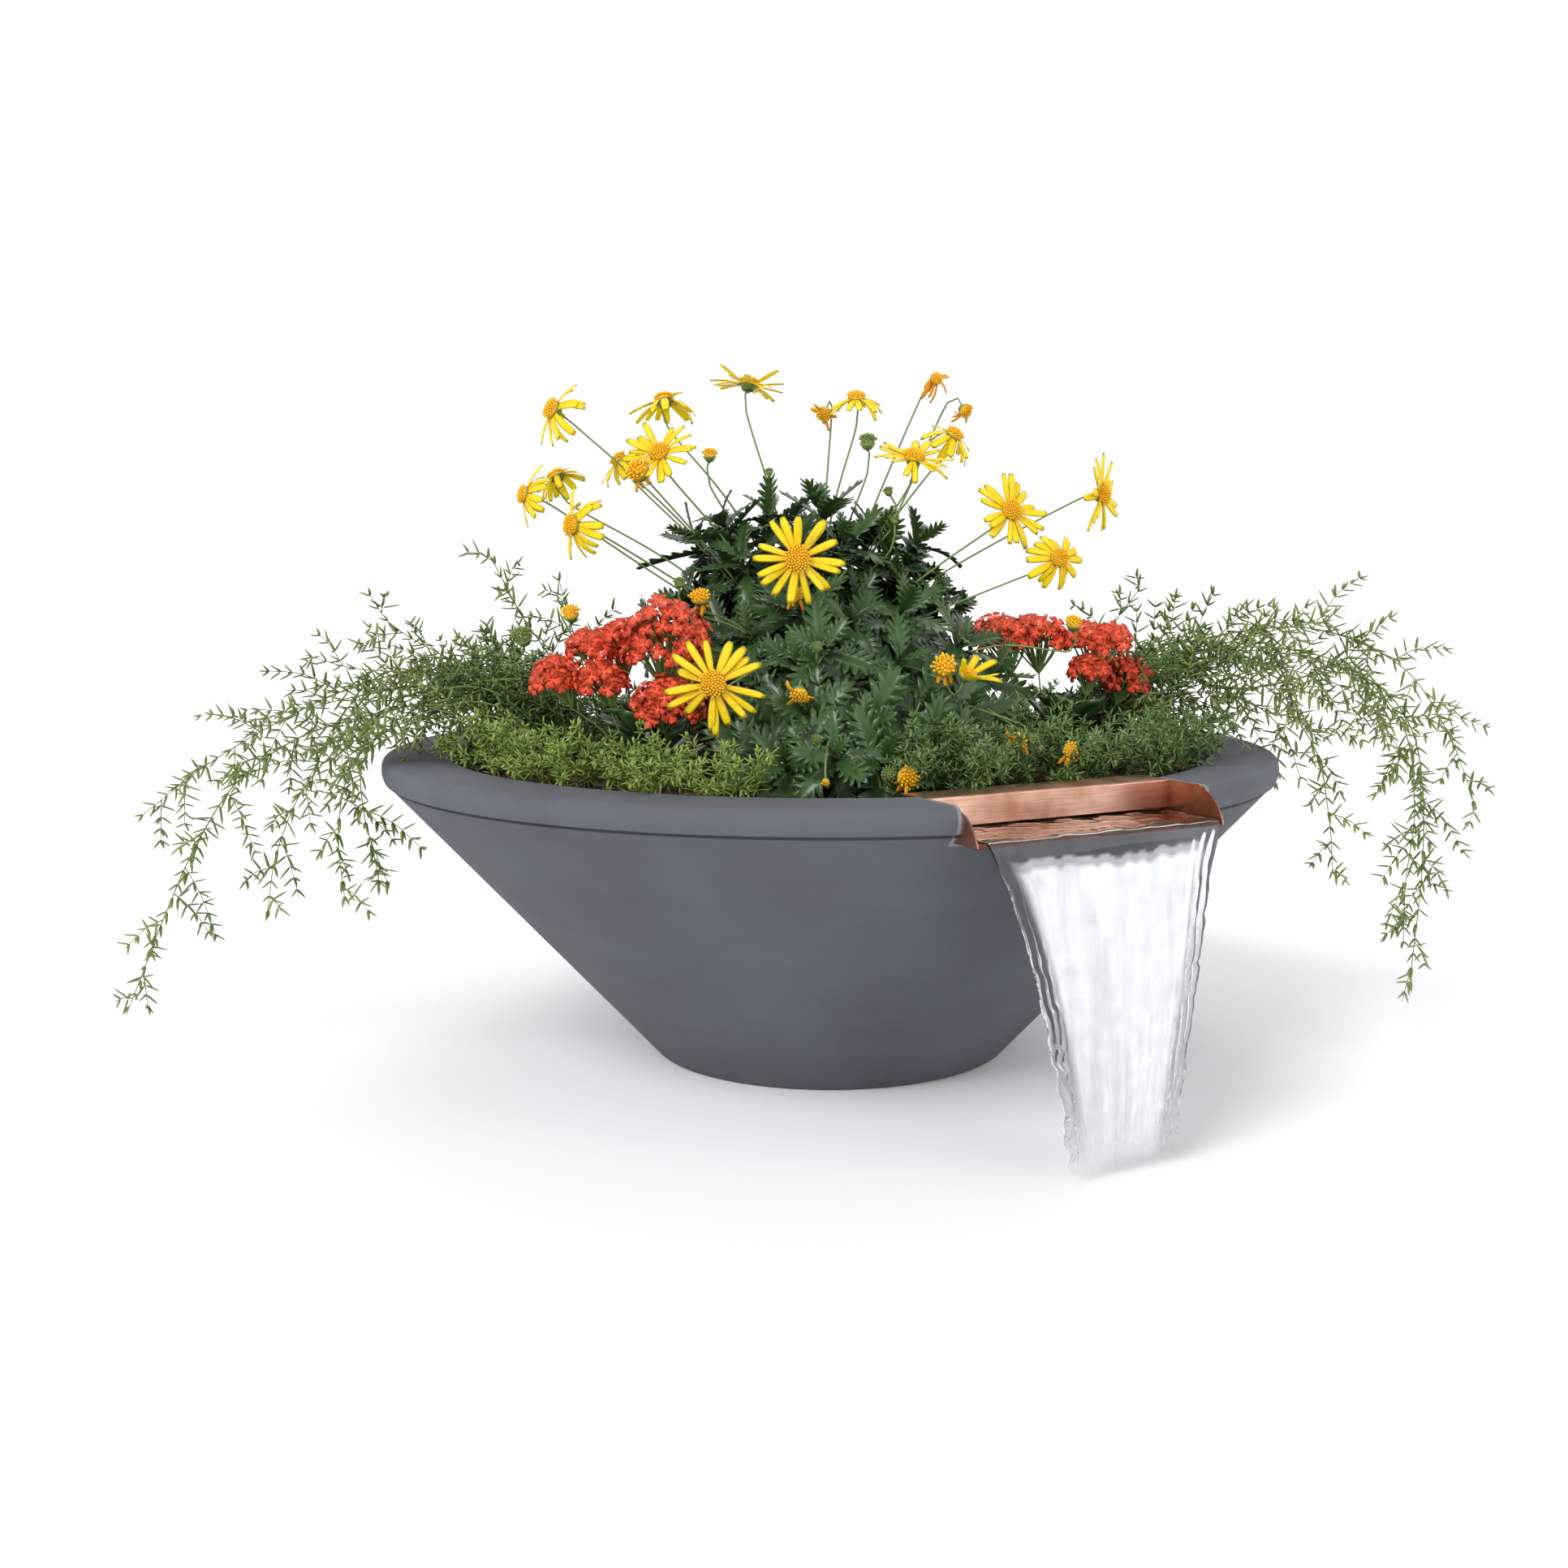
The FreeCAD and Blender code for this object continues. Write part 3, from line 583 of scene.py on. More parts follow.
@dataclass
class Copies:
    """Copies of patterns that end up in one mesh. Places are in layout millimetres."""

    groups: list[tuple[Pattern, Rows, Rows, Rows, Rows]] = field(default_factory=list)

    def add(
        self, pattern: Pattern, origins: Rows, lengthwise: Rows, facing: Rows, sizes: Rows, tones: Rows
    ) -> None:
        """Adds one copy for each row: its root, directions, three sizes in mm and tone."""
        origins = np.atleast_2d(np.asarray(origins, float))
        if not len(origins):
            return
        sides = axes(np.broadcast_to(lengthwise, origins.shape), np.broadcast_to(facing, origins.shape))
        spread = np.broadcast_to(np.asarray(sizes, float), origins.shape)
        self.groups.append((pattern, origins, sides, spread, np.broadcast_to(tones, (len(origins),))))

    def mesh(self, name: str, finish: Finish, turn: float = LAYOUT_TURN) -> Piece:
        """Makes the one mesh.

        Args:
            name: The piece's name.
            finish: The piece's finish.
            turn: The turn from the layout to the row frame.

        Returns:
            The piece, at the origin, with its place in its mesh.
        """
        points, corners, sizes, tones, alongs, first = [], [], [], [], [], 0
        for pattern, origins, sides, spread, tone in self.groups:
            shaped = pattern.points[None, :, :] * spread[:, None, :]
            points.append((np.einsum("mij,mnj->mni", sides, shaped) + origins[:, None, :]).reshape(-1, 3))
            step = len(pattern.points)
            steps = first + step * np.arange(len(origins))
            corners.append((pattern.corners[None, :] + steps[:, None]).ravel())
            sizes.append(np.tile(pattern.sizes, len(origins)))
            tones.append(np.repeat(tone, step))
            reach = max(pattern.points[:, 2].max(), 1e-6)
            alongs.append(np.tile(np.clip(pattern.points[:, 2] / reach, 0.0, 1.0), len(origins)))
            first += step * len(origins)
        placed = turned(np.concatenate(points) * MM, turn)
        counts = np.concatenate(sizes)
        mesh = bpy.data.meshes.new(name)
        mesh.vertices.add(len(placed))
        mesh.vertices.foreach_set("co", placed.astype(np.float32).ravel())
        loops = np.concatenate(corners)
        mesh.loops.add(len(loops))
        mesh.loops.foreach_set("vertex_index", loops.astype(np.int32))
        mesh.polygons.add(len(counts))
        mesh.polygons.foreach_set("loop_start", (np.cumsum(counts) - counts).astype(np.int32))
        mesh.polygons.foreach_set("use_smooth", np.ones(len(counts), bool))
        mesh.update(calc_edges=True)
        for label, rows in (("tone", tones), ("along", alongs)):
            numbers = mesh.attributes.new(label, "FLOAT", "POINT")
            numbers.data.foreach_set("value", np.concatenate(rows).astype(np.float32))
        piece = bpy.data.objects.new(name, mesh)
        bpy.context.scene.collection.objects.link(piece)
        coat(piece, finish)
        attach(piece, BODY)
        log.info("%s: %d faces", name, len(counts))
        return piece


def turned(points: Rows, turn: float) -> Rows:
    """Points turned about the Z axis."""
    c, s = math.cos(turn), math.sin(turn)
    return points @ np.array([[c, s, 0.0], [-s, c, 0.0], [0.0, 0.0, 1.0]])


def curve_through(points: Rows, step: float = 8.0) -> Rows:
    """A smooth line through points, with a point about every step."""
    known = np.asarray(points, float)
    padded = np.vstack([2 * known[0] - known[1], known, 2 * known[-1] - known[-2]])
    line = []
    for i in range(1, len(padded) - 2):
        a, b, c, d = padded[i - 1 : i + 3]
        count = max(2, int(np.linalg.norm(c - b) / step))
        t = np.linspace(0.0, 1.0, count, endpoint=False)[:, None]
        line.append(
            0.5 * (2 * b + (c - a) * t + (2 * a - 5 * b + 4 * c - d) * t**2 + (3 * b - a - 3 * c + d) * t**3)
        )
    return np.vstack([*line, known[-1]])


def at_gaps(line: Rows, gap: float, start: float = 0.0) -> tuple[Rows, Rows, Rows]:
    """Points at even gaps along a line.

    Args:
        line: The line's points.
        gap: The distance between the new points.
        start: The distance from the line's start to the first one.

    Returns:
        The points, the line's direction at each, and how far along it is, from 0 to 1.
    """
    steps = np.linalg.norm(np.diff(line, axis=0), axis=1)
    run = np.concatenate([[0.0], np.cumsum(steps)])
    wanted = np.arange(start, run[-1], gap)
    points = np.stack([np.interp(wanted, run, line[:, k]) for k in range(3)], axis=-1)
    ahead = np.stack([np.interp(wanted + 2.0, run, line[:, k]) for k in range(3)], axis=-1)
    behind = np.stack([np.interp(wanted - 2.0, run, line[:, k]) for k in range(3)], axis=-1)
    return points, unit(ahead - behind), wanted / max(run[-1], 1e-9)


def tubes(
    name: str, lines: list[Rows], radius: float, finish: Finish, tip: float = 0.5, turn: float = LAYOUT_TURN
) -> Piece:
    """Round stems along lines, as one mesh.

    Args:
        name: The piece's name.
        lines: Each stem's points in layout millimetres.
        radius: The stems' radius at their roots, in millimetres.
        finish: The stems' finish.
        tip: The radius at the tips as a share of that at the roots.
        turn: The turn from the layout to the row frame.

    Returns:
        The piece, at the origin.
    """
    clear_selection()
    curve = bpy.data.curves.new(name, "CURVE")
    curve.dimensions = "3D"
    curve.bevel_depth = radius * MM
    curve.bevel_resolution = 1
    curve.use_fill_caps = True
    for line in lines:
        spline = curve.splines.new("POLY")
        spline.points.add(len(line) - 1)
        placed = np.hstack([turned(line, turn) * MM, np.ones((len(line), 1))])
        spline.points.foreach_set("co", placed.astype(np.float32).ravel())
        spline.points.foreach_set("radius", np.linspace(1.0, tip, len(line)).astype(np.float32))
    piece = bpy.data.objects.new(name, curve)
    bpy.context.scene.collection.objects.link(piece)
    piece.select_set(True)
    bpy.context.view_layer.objects.active = piece
    bpy.ops.object.convert(target="MESH")
    piece = bpy.context.object
    piece.name = name
    bpy.ops.object.shade_smooth()
    coat(piece, finish)
    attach(piece, BODY)
    log.info("%s: %d stems", name, len(lines))
    return piece


# --- patterns that repeat


class Patterns:
    """The small shapes of the planting, each modelled once."""

    def __init__(self) -> None:
        """Models every pattern."""
        self.petals = [self.petal(lean) for lean in (0.0, 28.0, 62.0)]
        self.curled = [self.petal(lean) for lean in (48.0, 120.0)]
        self.leaves = [self.lobed_leaf(lean) for lean in (12.0, 38.0, 66.0)]
        self.needle = self.spindle()
        self.twig = self.rod()
        self.floret = self.bead(5, 0.55)
        self.dome = self.cushion()
        self.cup = self.calyx_cup()
        self.scale = self.petal(35.0)
        self.bud = self.bead(8, 0.5)
        self.star = self.kalanchoe_star()
        self.paddle = [self.scalloped_leaf(lean) for lean in (15.0, 40.0)]
        self.chip = self.bark_chip()

    def petal(self, lean: float) -> Pattern:
        """A strap petal with two ribs and a notched tip, one long and one wide."""
        piece = upright_sheet(4, 7)
        with in_edit(piece):
            for row, width in enumerate((0.46, 0.66, 0.84, 0.95, 1.0, 1.0, 0.92, 0.62)):
                widen(piece, row / 7, (width, 1.0, 1.0))
            push(piece, (0.0, 0.016, 0.0), lambda p: abs(p.x) < 0.02 and 0.05 < p.z < 0.95)
            push(piece, (0.0, 0.0, 0.035), lambda p: p.z > 0.98 and 0.05 < abs(p.x) < 0.15)
            push(piece, (0.0, 0.022, 0.0), lambda p: abs(p.x) > 0.3)
        double_back(piece, 0.014)
        bow(piece, lean)
        return Pattern.take(piece)

    def lobed_leaf(self, lean: float) -> Pattern:
        """A daisy's leaf: a winged midrib with five deep lobes on each side and one at the tip."""
        piece = upright_sheet(2, 6, 0.46)
        with in_edit(piece):
            bpy.ops.mesh.select_all(action="SELECT")
            bpy.ops.transform.resize(value=(0.16, 1.0, 0.92), center_override=(0.0, 0.0, 0.0))
            shape = bmesh.from_edit_mesh(piece.data)
            rows = sorted({round(v.co.z, 4) for v in shape.verts})
            for low, high, out, up in zip(
                rows[1:-1], rows[2:], (0.17, 0.26, 0.30, 0.25, 0.15), (0.10, 0.13, 0.15, 0.16, 0.17)
            ):
                for side in (-1, 1):
                    found = pick(
                        piece, "edges",
                        lambda p: near(abs(p.x), 0.08) and p.x * side > 0 and low - 1e-3 < p.z < high + 1e-3,
                    )
                    if not found:
                        continue
                    middle, root = (low + high) / 2, 0.08
                    half_way = (side * (root + out * 0.55), 0.0, middle + up * 0.6)
                    extrude("edges", (side * out * 0.55, 0.0, up * 0.6), (1.0, 1.0, 0.82), half_way)
                    end = (side * (root + out), 0.0, middle + up)
                    extrude("edges", (side * out * 0.45, -0.02, up * 0.4), (1.0, 1.0, 0.34), end)
            top = rows[-1]
            pick(piece, "verts", lambda p: near(p.z, top, 2e-3) and abs(p.x) < 0.085)
            extrude("edges", (0.0, 0.0, 1.0 - top), (0.35, 1.0, 1.0), (0.0, 0.0, 1.0))
            push(piece, (0.0, 0.03, 0.0), lambda p: near(p.x, 0.0))
        thicken(piece, 0.013)
        bow(piece, lean)
        return Pattern.take(piece)

    def scalloped_leaf(self, lean: float) -> Pattern:
        """A kalanchoe's leaf: a fleshy oval with a scalloped edge."""
        piece = upright_sheet(2, 8)
        with in_edit(piece):
            for row, width in enumerate((0.16, 0.26, 0.62, 0.78, 0.92, 0.84, 0.86, 0.56, 0.20)):
                widen(piece, row / 8, (width, 1.0, 1.0))
            push(piece, (0.0, 0.05, 0.0), lambda p: near(p.x, 0.0))
        double_back(piece, 0.09)
        bow(piece, lean)
        return Pattern.take(piece)

    def spindle(self) -> Pattern:
        """A fern needle: a three-sided strap, even in width for most of its length and pointed at both ends."""
        piece = primitive("cone", vertices=3, radius1=0.5, radius2=0.42, depth=0.5, location=(0, 0, 0.43))
        with in_edit(piece):
            for low, away in ((0.18, -0.18), (0.68, 0.32)):
                pick(piece, "faces", lambda p: near(p.z, low, 1e-3))
                bpy.ops.mesh.poke()
                push(piece, (0.0, 0.0, away), lambda p: near(p.z, low, 1e-3) and p.to_2d().length < 0.1)
        return Pattern.take(piece)

    def rod(self) -> Pattern:
        """A four-sided twig that thins to its end."""
        piece = primitive("cone", vertices=4, radius1=0.5, radius2=0.33, depth=1.0, location=(0, 0, 0.5))
        return Pattern.take(piece)

    def bead(self, sides: int, waist: float) -> Pattern:
        """A small closed bud: widest at its waist, drawn in above and below."""
        piece = primitive("cone", vertices=sides, radius1=0.26, radius2=0.5, depth=waist, location=(0, 0, waist / 2))
        with in_edit(piece):
            pick(piece, "verts", lambda p: near(p.z, waist, 1e-3))
            extrude("region", (0.0, 0.0, (1.0 - waist) * 0.7), (0.78, 0.78, 1.0), (0.0, 0.0, 0.0))
            pick(piece, "faces", lambda p: p.z > waist + 0.01)
            bpy.ops.mesh.inset(thickness=0.16)
            bpy.ops.transform.translate(value=(0.0, 0.0, (1.0 - waist) * 0.3))
        return Pattern.take(piece)

    def cushion(self) -> Pattern:
        """The low dome that a flower's disc florets stand on."""
        piece = primitive("uv_sphere", segments=14, ring_count=8, radius=1.0, location=(0, 0, 0))
        with in_edit(piece):
            pick(piece, "verts", lambda p: p.z < -0.05)
            bpy.ops.transform.resize(value=(1.0, 1.0, 0.35), center_override=(0.0, 0.0, 0.0))
        return Pattern.take(piece)

    def calyx_cup(self) -> Pattern:
        """The green cup behind a flower: a cone that opens from the stem, with a rounded lip."""
        piece = primitive("cone", vertices=12, radius1=0.14, radius2=0.8, depth=0.6, location=(0, 0, 0.3))
        with in_edit(piece):
            pick(piece, "faces", lambda p: near(p.z, 0.6, 1e-3))
            extrude("region", (0.0, 0.0, 0.28), (1.25, 1.25, 1.0), (0.0, 0.0, 0.88))
            bpy.ops.mesh.inset(thickness=0.2)
            bpy.ops.transform.translate(value=(0.0, 0.0, 0.12))
        return Pattern.take(piece)

    def kalanchoe_star(self) -> Pattern:
        """A kalanchoe floret: a narrow tube that opens to four broad pointed petals."""
        piece = primitive("cone", vertices=8, radius1=0.07, radius2=0.11, depth=0.72, location=(0, 0, 0.36))
        with in_edit(piece):
            pick(piece, "faces", lambda p: near(p.z, 0.72, 1e-3))
            bpy.ops.mesh.inset(thickness=0.03)
            for quarter in range(4):
                angle = quarter * math.pi / 2 + math.pi / 8
                way = Vector((math.cos(angle), math.sin(angle), 0.0))
                found = pick(
                    piece, "faces",
                    lambda p: p.z > 0.6 and p.to_2d().length > 0.06
                    and p.to_2d().angle(way.to_2d(), 9.0) < math.pi / 8 + 0.15,
                )
                if not found:
                    continue
                rise = Vector((0.0, 0.0, 0.77))
                extrude("region", way * 0.24 + Vector((0, 0, 0.05)), (6.4, 6.4, 0.5), way * 0.33 + rise)
                fall = Vector((0.0, 0.0, 0.74))
                extrude("region", way * 0.22 - Vector((0, 0, 0.03)), (0.5, 0.5, 0.4), way * 0.55 + fall)
        return Pattern.take(piece)

    def bark_chip(self) -> Pattern:
        """A torn flake of bark: a thin block, split once along its length and snapped askew."""
        piece = primitive("cube", size=1.0, location=(0, 0, 0.5))
        with in_edit(piece):
            bpy.ops.mesh.select_all(action="SELECT")
            bpy.ops.mesh.bisect(plane_co=(0.1, 0.0, 0.45), plane_no=(0.2, 0.0, 1.0))
            push(piece, (-0.22, 0.1, -0.16), lambda p: p.z > 0.9 and p.x > 0.0)
            push(piece, (0.18, 0.0, 0.12), lambda p: p.z < 0.1 and p.x < 0.0)
            push(piece, (0.0, 0.22, 0.0), lambda p: 0.1 < p.z < 0.8 and p.y > 0.0)
        return Pattern.take(piece)


# --- hard parts


@dataclass
class HardParts:
    """The bowl, the spillway, the water box, the pipes and the filling, as they were packed."""

    nodes: dict[str, Piece]
    finishes: dict[str, Finish] = field(
        default_factory=lambda: {
            "bowl_shell": CONCRETE,
            "scupper_sealant": SEALANT,
            "solder_seams": SOLDER,
            "supply_gasket": RUBBER,
            "drain_gasket": RUBBER,
            "drain_strainer": STEEL,
            "gravel_layer": GRAVEL,
            "potting_soil": SOIL,
            "mulch_layer": BARK_BED,
            # the tray's copper carries painted dark reflection
            "spillway_tray": COPPER_PAINTED_DARK_REFLECTION,
            "spillway_cheek_left": COPPER_BROWNED,
            "spillway_cheek_right": COPPER_BROWNED,
        }
    )
    copper: tuple[str, ...] = ("spillway_", "weir_", "water_box", "box_", "riser_", "inlet_")
    brass: tuple[str, ...] = ("supply_", "drain_")

    def dress(self) -> None:
        """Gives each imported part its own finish."""
        for name, node in self.nodes.items():
            if name in self.finishes:
                coat(node, self.finishes[name])
            elif name.startswith(self.copper):
                coat(node, COPPER)
            elif name.startswith(self.brass):
                coat(node, BRASS)
        log.info("hard parts dressed: %d nodes in all", len(self.nodes))


@dataclass
class BarkChips:
    """Loose flakes of bark on the bed of mulch."""

    pattern: Pattern
    count: int = 900
    shortest: float = 11.0
    longest: float = 27.0
    side_room: float = 12.0  # kept free along the wall
    front_room: float = 10.0
    seed: int = 5

    def build(self) -> None:
        """Scatters the flakes over the bed, lying nearly flat, and rides them."""
        rng = np.random.default_rng(self.seed)
        low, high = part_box("mulch_layer")
        reach = high.x / MM - self.side_room
        front = low.y / MM + self.front_room
        top = high.z / MM
        angle = rng.uniform(0, 2 * math.pi, self.count)
        radius = reach * np.sqrt(rng.uniform(0, 1, self.count))
        spots = np.stack([radius * np.cos(angle), radius * np.sin(angle), top + rng.uniform(0.5, 5.0, self.count)], -1)
        spots = spots[spots[:, 1] > front]
        count = len(spots)
        way = rng.uniform(0, 2 * math.pi, count)
        lengthwise = np.stack([np.cos(way), np.sin(way), rng.uniform(-0.12, 0.28, count)], -1)
        facing = UP + rng.normal(0, 0.22, (count, 3))
        length = rng.uniform(self.shortest, self.longest, count)
        sizes = np.stack([length * rng.uniform(0.3, 0.6, count), rng.uniform(2.2, 5.0, count), length], -1)
        chips = Copies()
        chips.add(self.pattern, spots, lengthwise, facing, sizes, rng.uniform(0, 1, count))
        piece = chips.mesh("bark_chips", BARK, turn=0.0)
        piece.data.polygons.foreach_set("use_smooth", np.zeros(len(piece.data.polygons), bool))


# --- the daisy bush


def axis_of(heading: float, tilt: float) -> Rows:
    """The way that a flower looks, from its heading and its tilt above level, in degrees."""
    h, t = math.radians(heading), math.radians(tilt)
    return np.array([math.cos(h) * math.cos(t), math.sin(h) * math.cos(t), math.sin(t)])


def across(way: Rows) -> tuple[Rows, Rows]:
    """Two directions square to each given one, and to each other."""
    way = unit(np.atleast_2d(way))
    helper = np.where(np.abs(way[:, 2:3]) < 0.9, np.array([[0.0, 0.0, 1.0]]), np.array([[1.0, 0.0, 0.0]]))
    first = unit(np.cross(way, helper))
    return first, np.cross(way, first)


def around(first: Rows, second: Rows, turn: Rows) -> Rows:
    """Directions in the plane of two others, one for each turn."""
    return first * np.cos(turn)[:, None] + second * np.sin(turn)[:, None]


class Stage(Enum):
    """How far a flower head has come."""

    OPEN = "open"
    DROOPING = "drooping"
    HALF = "half"
    WILTED = "wilted"
    SPENT = "spent"
    BUD = "bud"
    GREEN = "green"


@dataclass(frozen=True)
class Head:
    """A flower head: its middle in layout millimetres, its radius, the way it looks and how far it has come."""

    x: float
    y: float
    z: float
    radius: float
    heading: float
    tilt: float
    stage: Stage

    def middle(self) -> Rows:
        """The head's middle."""
        return np.array([self.x, self.y, self.z])


HEADS = tuple(
    Head(*numbers, Stage(stage))
    for *numbers, stage in (
        (-281, -20, 660, 41, 210, 25, "drooping"), (-172, 30, 673, 40, 120, 72, "drooping"),
        (-86, 60, 692, 40, 60, 80, "open"), (27, 20, 675, 36, 270, 74, "drooping"),
        (111, 60, 697, 26, 300, 20, "spent"), (128, 20, 637, 37, 330, 52, "drooping"),
        (84, -40, 612, 42, 290, 66, "open"), (-170, -60, 615, 42, 240, 45, "open"),
        (-218, 10, 611, 35, 190, 50, "drooping"), (-275, -40, 593, 34, 160, 62, "drooping"),
        (-300, -90, 573, 34, 200, 12, "drooping"), (-250, -115, 543, 40, 215, 5, "drooping"),
        (-30, -205, 512, 46, 272, 4, "open"), (180, -65, 558, 42, 300, 22, "open"),
        (280, 0, 575, 41, 330, 0, "open"), (226, -85, 511, 37, 290, 10, "drooping"),
        (-103, -295, 403, 46, 262, 8, "open"), (124, -245, 408, 34, 320, 50, "half"),
        (-6, 40, 660, 13, 250, -30, "wilted"), (143, 80, 666, 13, 320, -30, "wilted"),
        (38, -10, 627, 14, 270, 80, "green"), (-189, -70, 596, 20, 230, 30, "spent"),
        (-125, 20, 615, 12, 270, 85, "bud"), (-64, 40, 599, 7, 120, 80, "green"),
        (59, -30, 577, 8, 200, 70, "green"), (65, -40, 548, 7, 330, 80, "green"),
        (-124, -150, 474, 16, 260, 60, "spent"), (-144, -150, 488, 9, 240, 70, "green"),
        (-248, -150, 458, 14, 250, 65, "bud"), (-294, -150, 436, 16, 240, 55, "green"),
        (-32, -175, 478, 12, 250, 20, "spent"), (-28, -262, 392, 14, 265, -50, "wilted"),
        (105, -235, 414, 18, 250, 35, "spent"), (169, -272, 352, 13, 250, -30, "wilted"),
        (218, -262, 340, 13, 280, 20, "wilted"), (51, -326, 326, 12, 285, 25, "green"),
        (66, -330, 325, 16, 300, -5, "spent"), (235, -130, 448, 13, 280, 70, "bud"),
        (-12, -240, 432, 8, 270, 40, "green"), (-12, -290, 352, 8, 280, 50, "green"),
        (-4, -336, 322, 6, 270, -50, "bud"),
    )
)


@dataclass(frozen=True)
class Habit:
    """How the ray petals stand at one stage: how many, how far they rise in degrees, and which patterns they take."""

    petals: int
    rise: float
    patterns: tuple[int, ...]


HABITS = {
    Stage.OPEN: Habit(17, 6.0, (0, 0, 1)),
    Stage.DROOPING: Habit(14, -12.0, (1, 1, 2, 2)),
    Stage.HALF: Habit(7, 42.0, (0, 1)),
    Stage.WILTED: Habit(7, 10.0, (0, 1)),
    Stage.SPENT: Habit(9, -8.0, (0, 1)),
}


CREST = (  # rosettes along the top, in layout millimetres
    (-66, 10, 556), (-112, 0, 548), (-142, 20, 530), (-8, 20, 560), (58, -10, 522), (92, 20, 528),
    (-92, -50, 512), (-40, -40, 524), (14, -36, 530), (44, 40, 540), (-70, 70, 540), (-150, -30, 470),
    (104, -20, 470), (128, 10, 452), (-178, -20, 440), (-10, 80, 530), (84, 80, 500), (-120, 90, 500),
)

SKIRT = (  # rosettes low down in front and behind
    (-70, -165, 392), (-30, -190, 412), (18, -200, 402), (66, -180, 420), (100, -160, 395), (-62, -225, 352),
    (-18, -245, 372), (30, -250, 362), (84, -225, 372), (-40, -282, 330), (4, -290, 338), (48, -284, 334),
    (92, -262, 338), (128, -196, 362), (-78, -130, 440), (20, -140, 450), (-30, -120, 470), (70, -120, 462),
    (130, -110, 430), (160, -120, 398), (-66, -258, 322), (118, -235, 330), (-6, -208, 430), (-90, 168, 352),
    (-30, 190, 342), (40, 186, 348), (96, 158, 356), (-60, 150, 410), (20, 158, 412), (80, 130, 408),
    (-126, 130, 366),
)


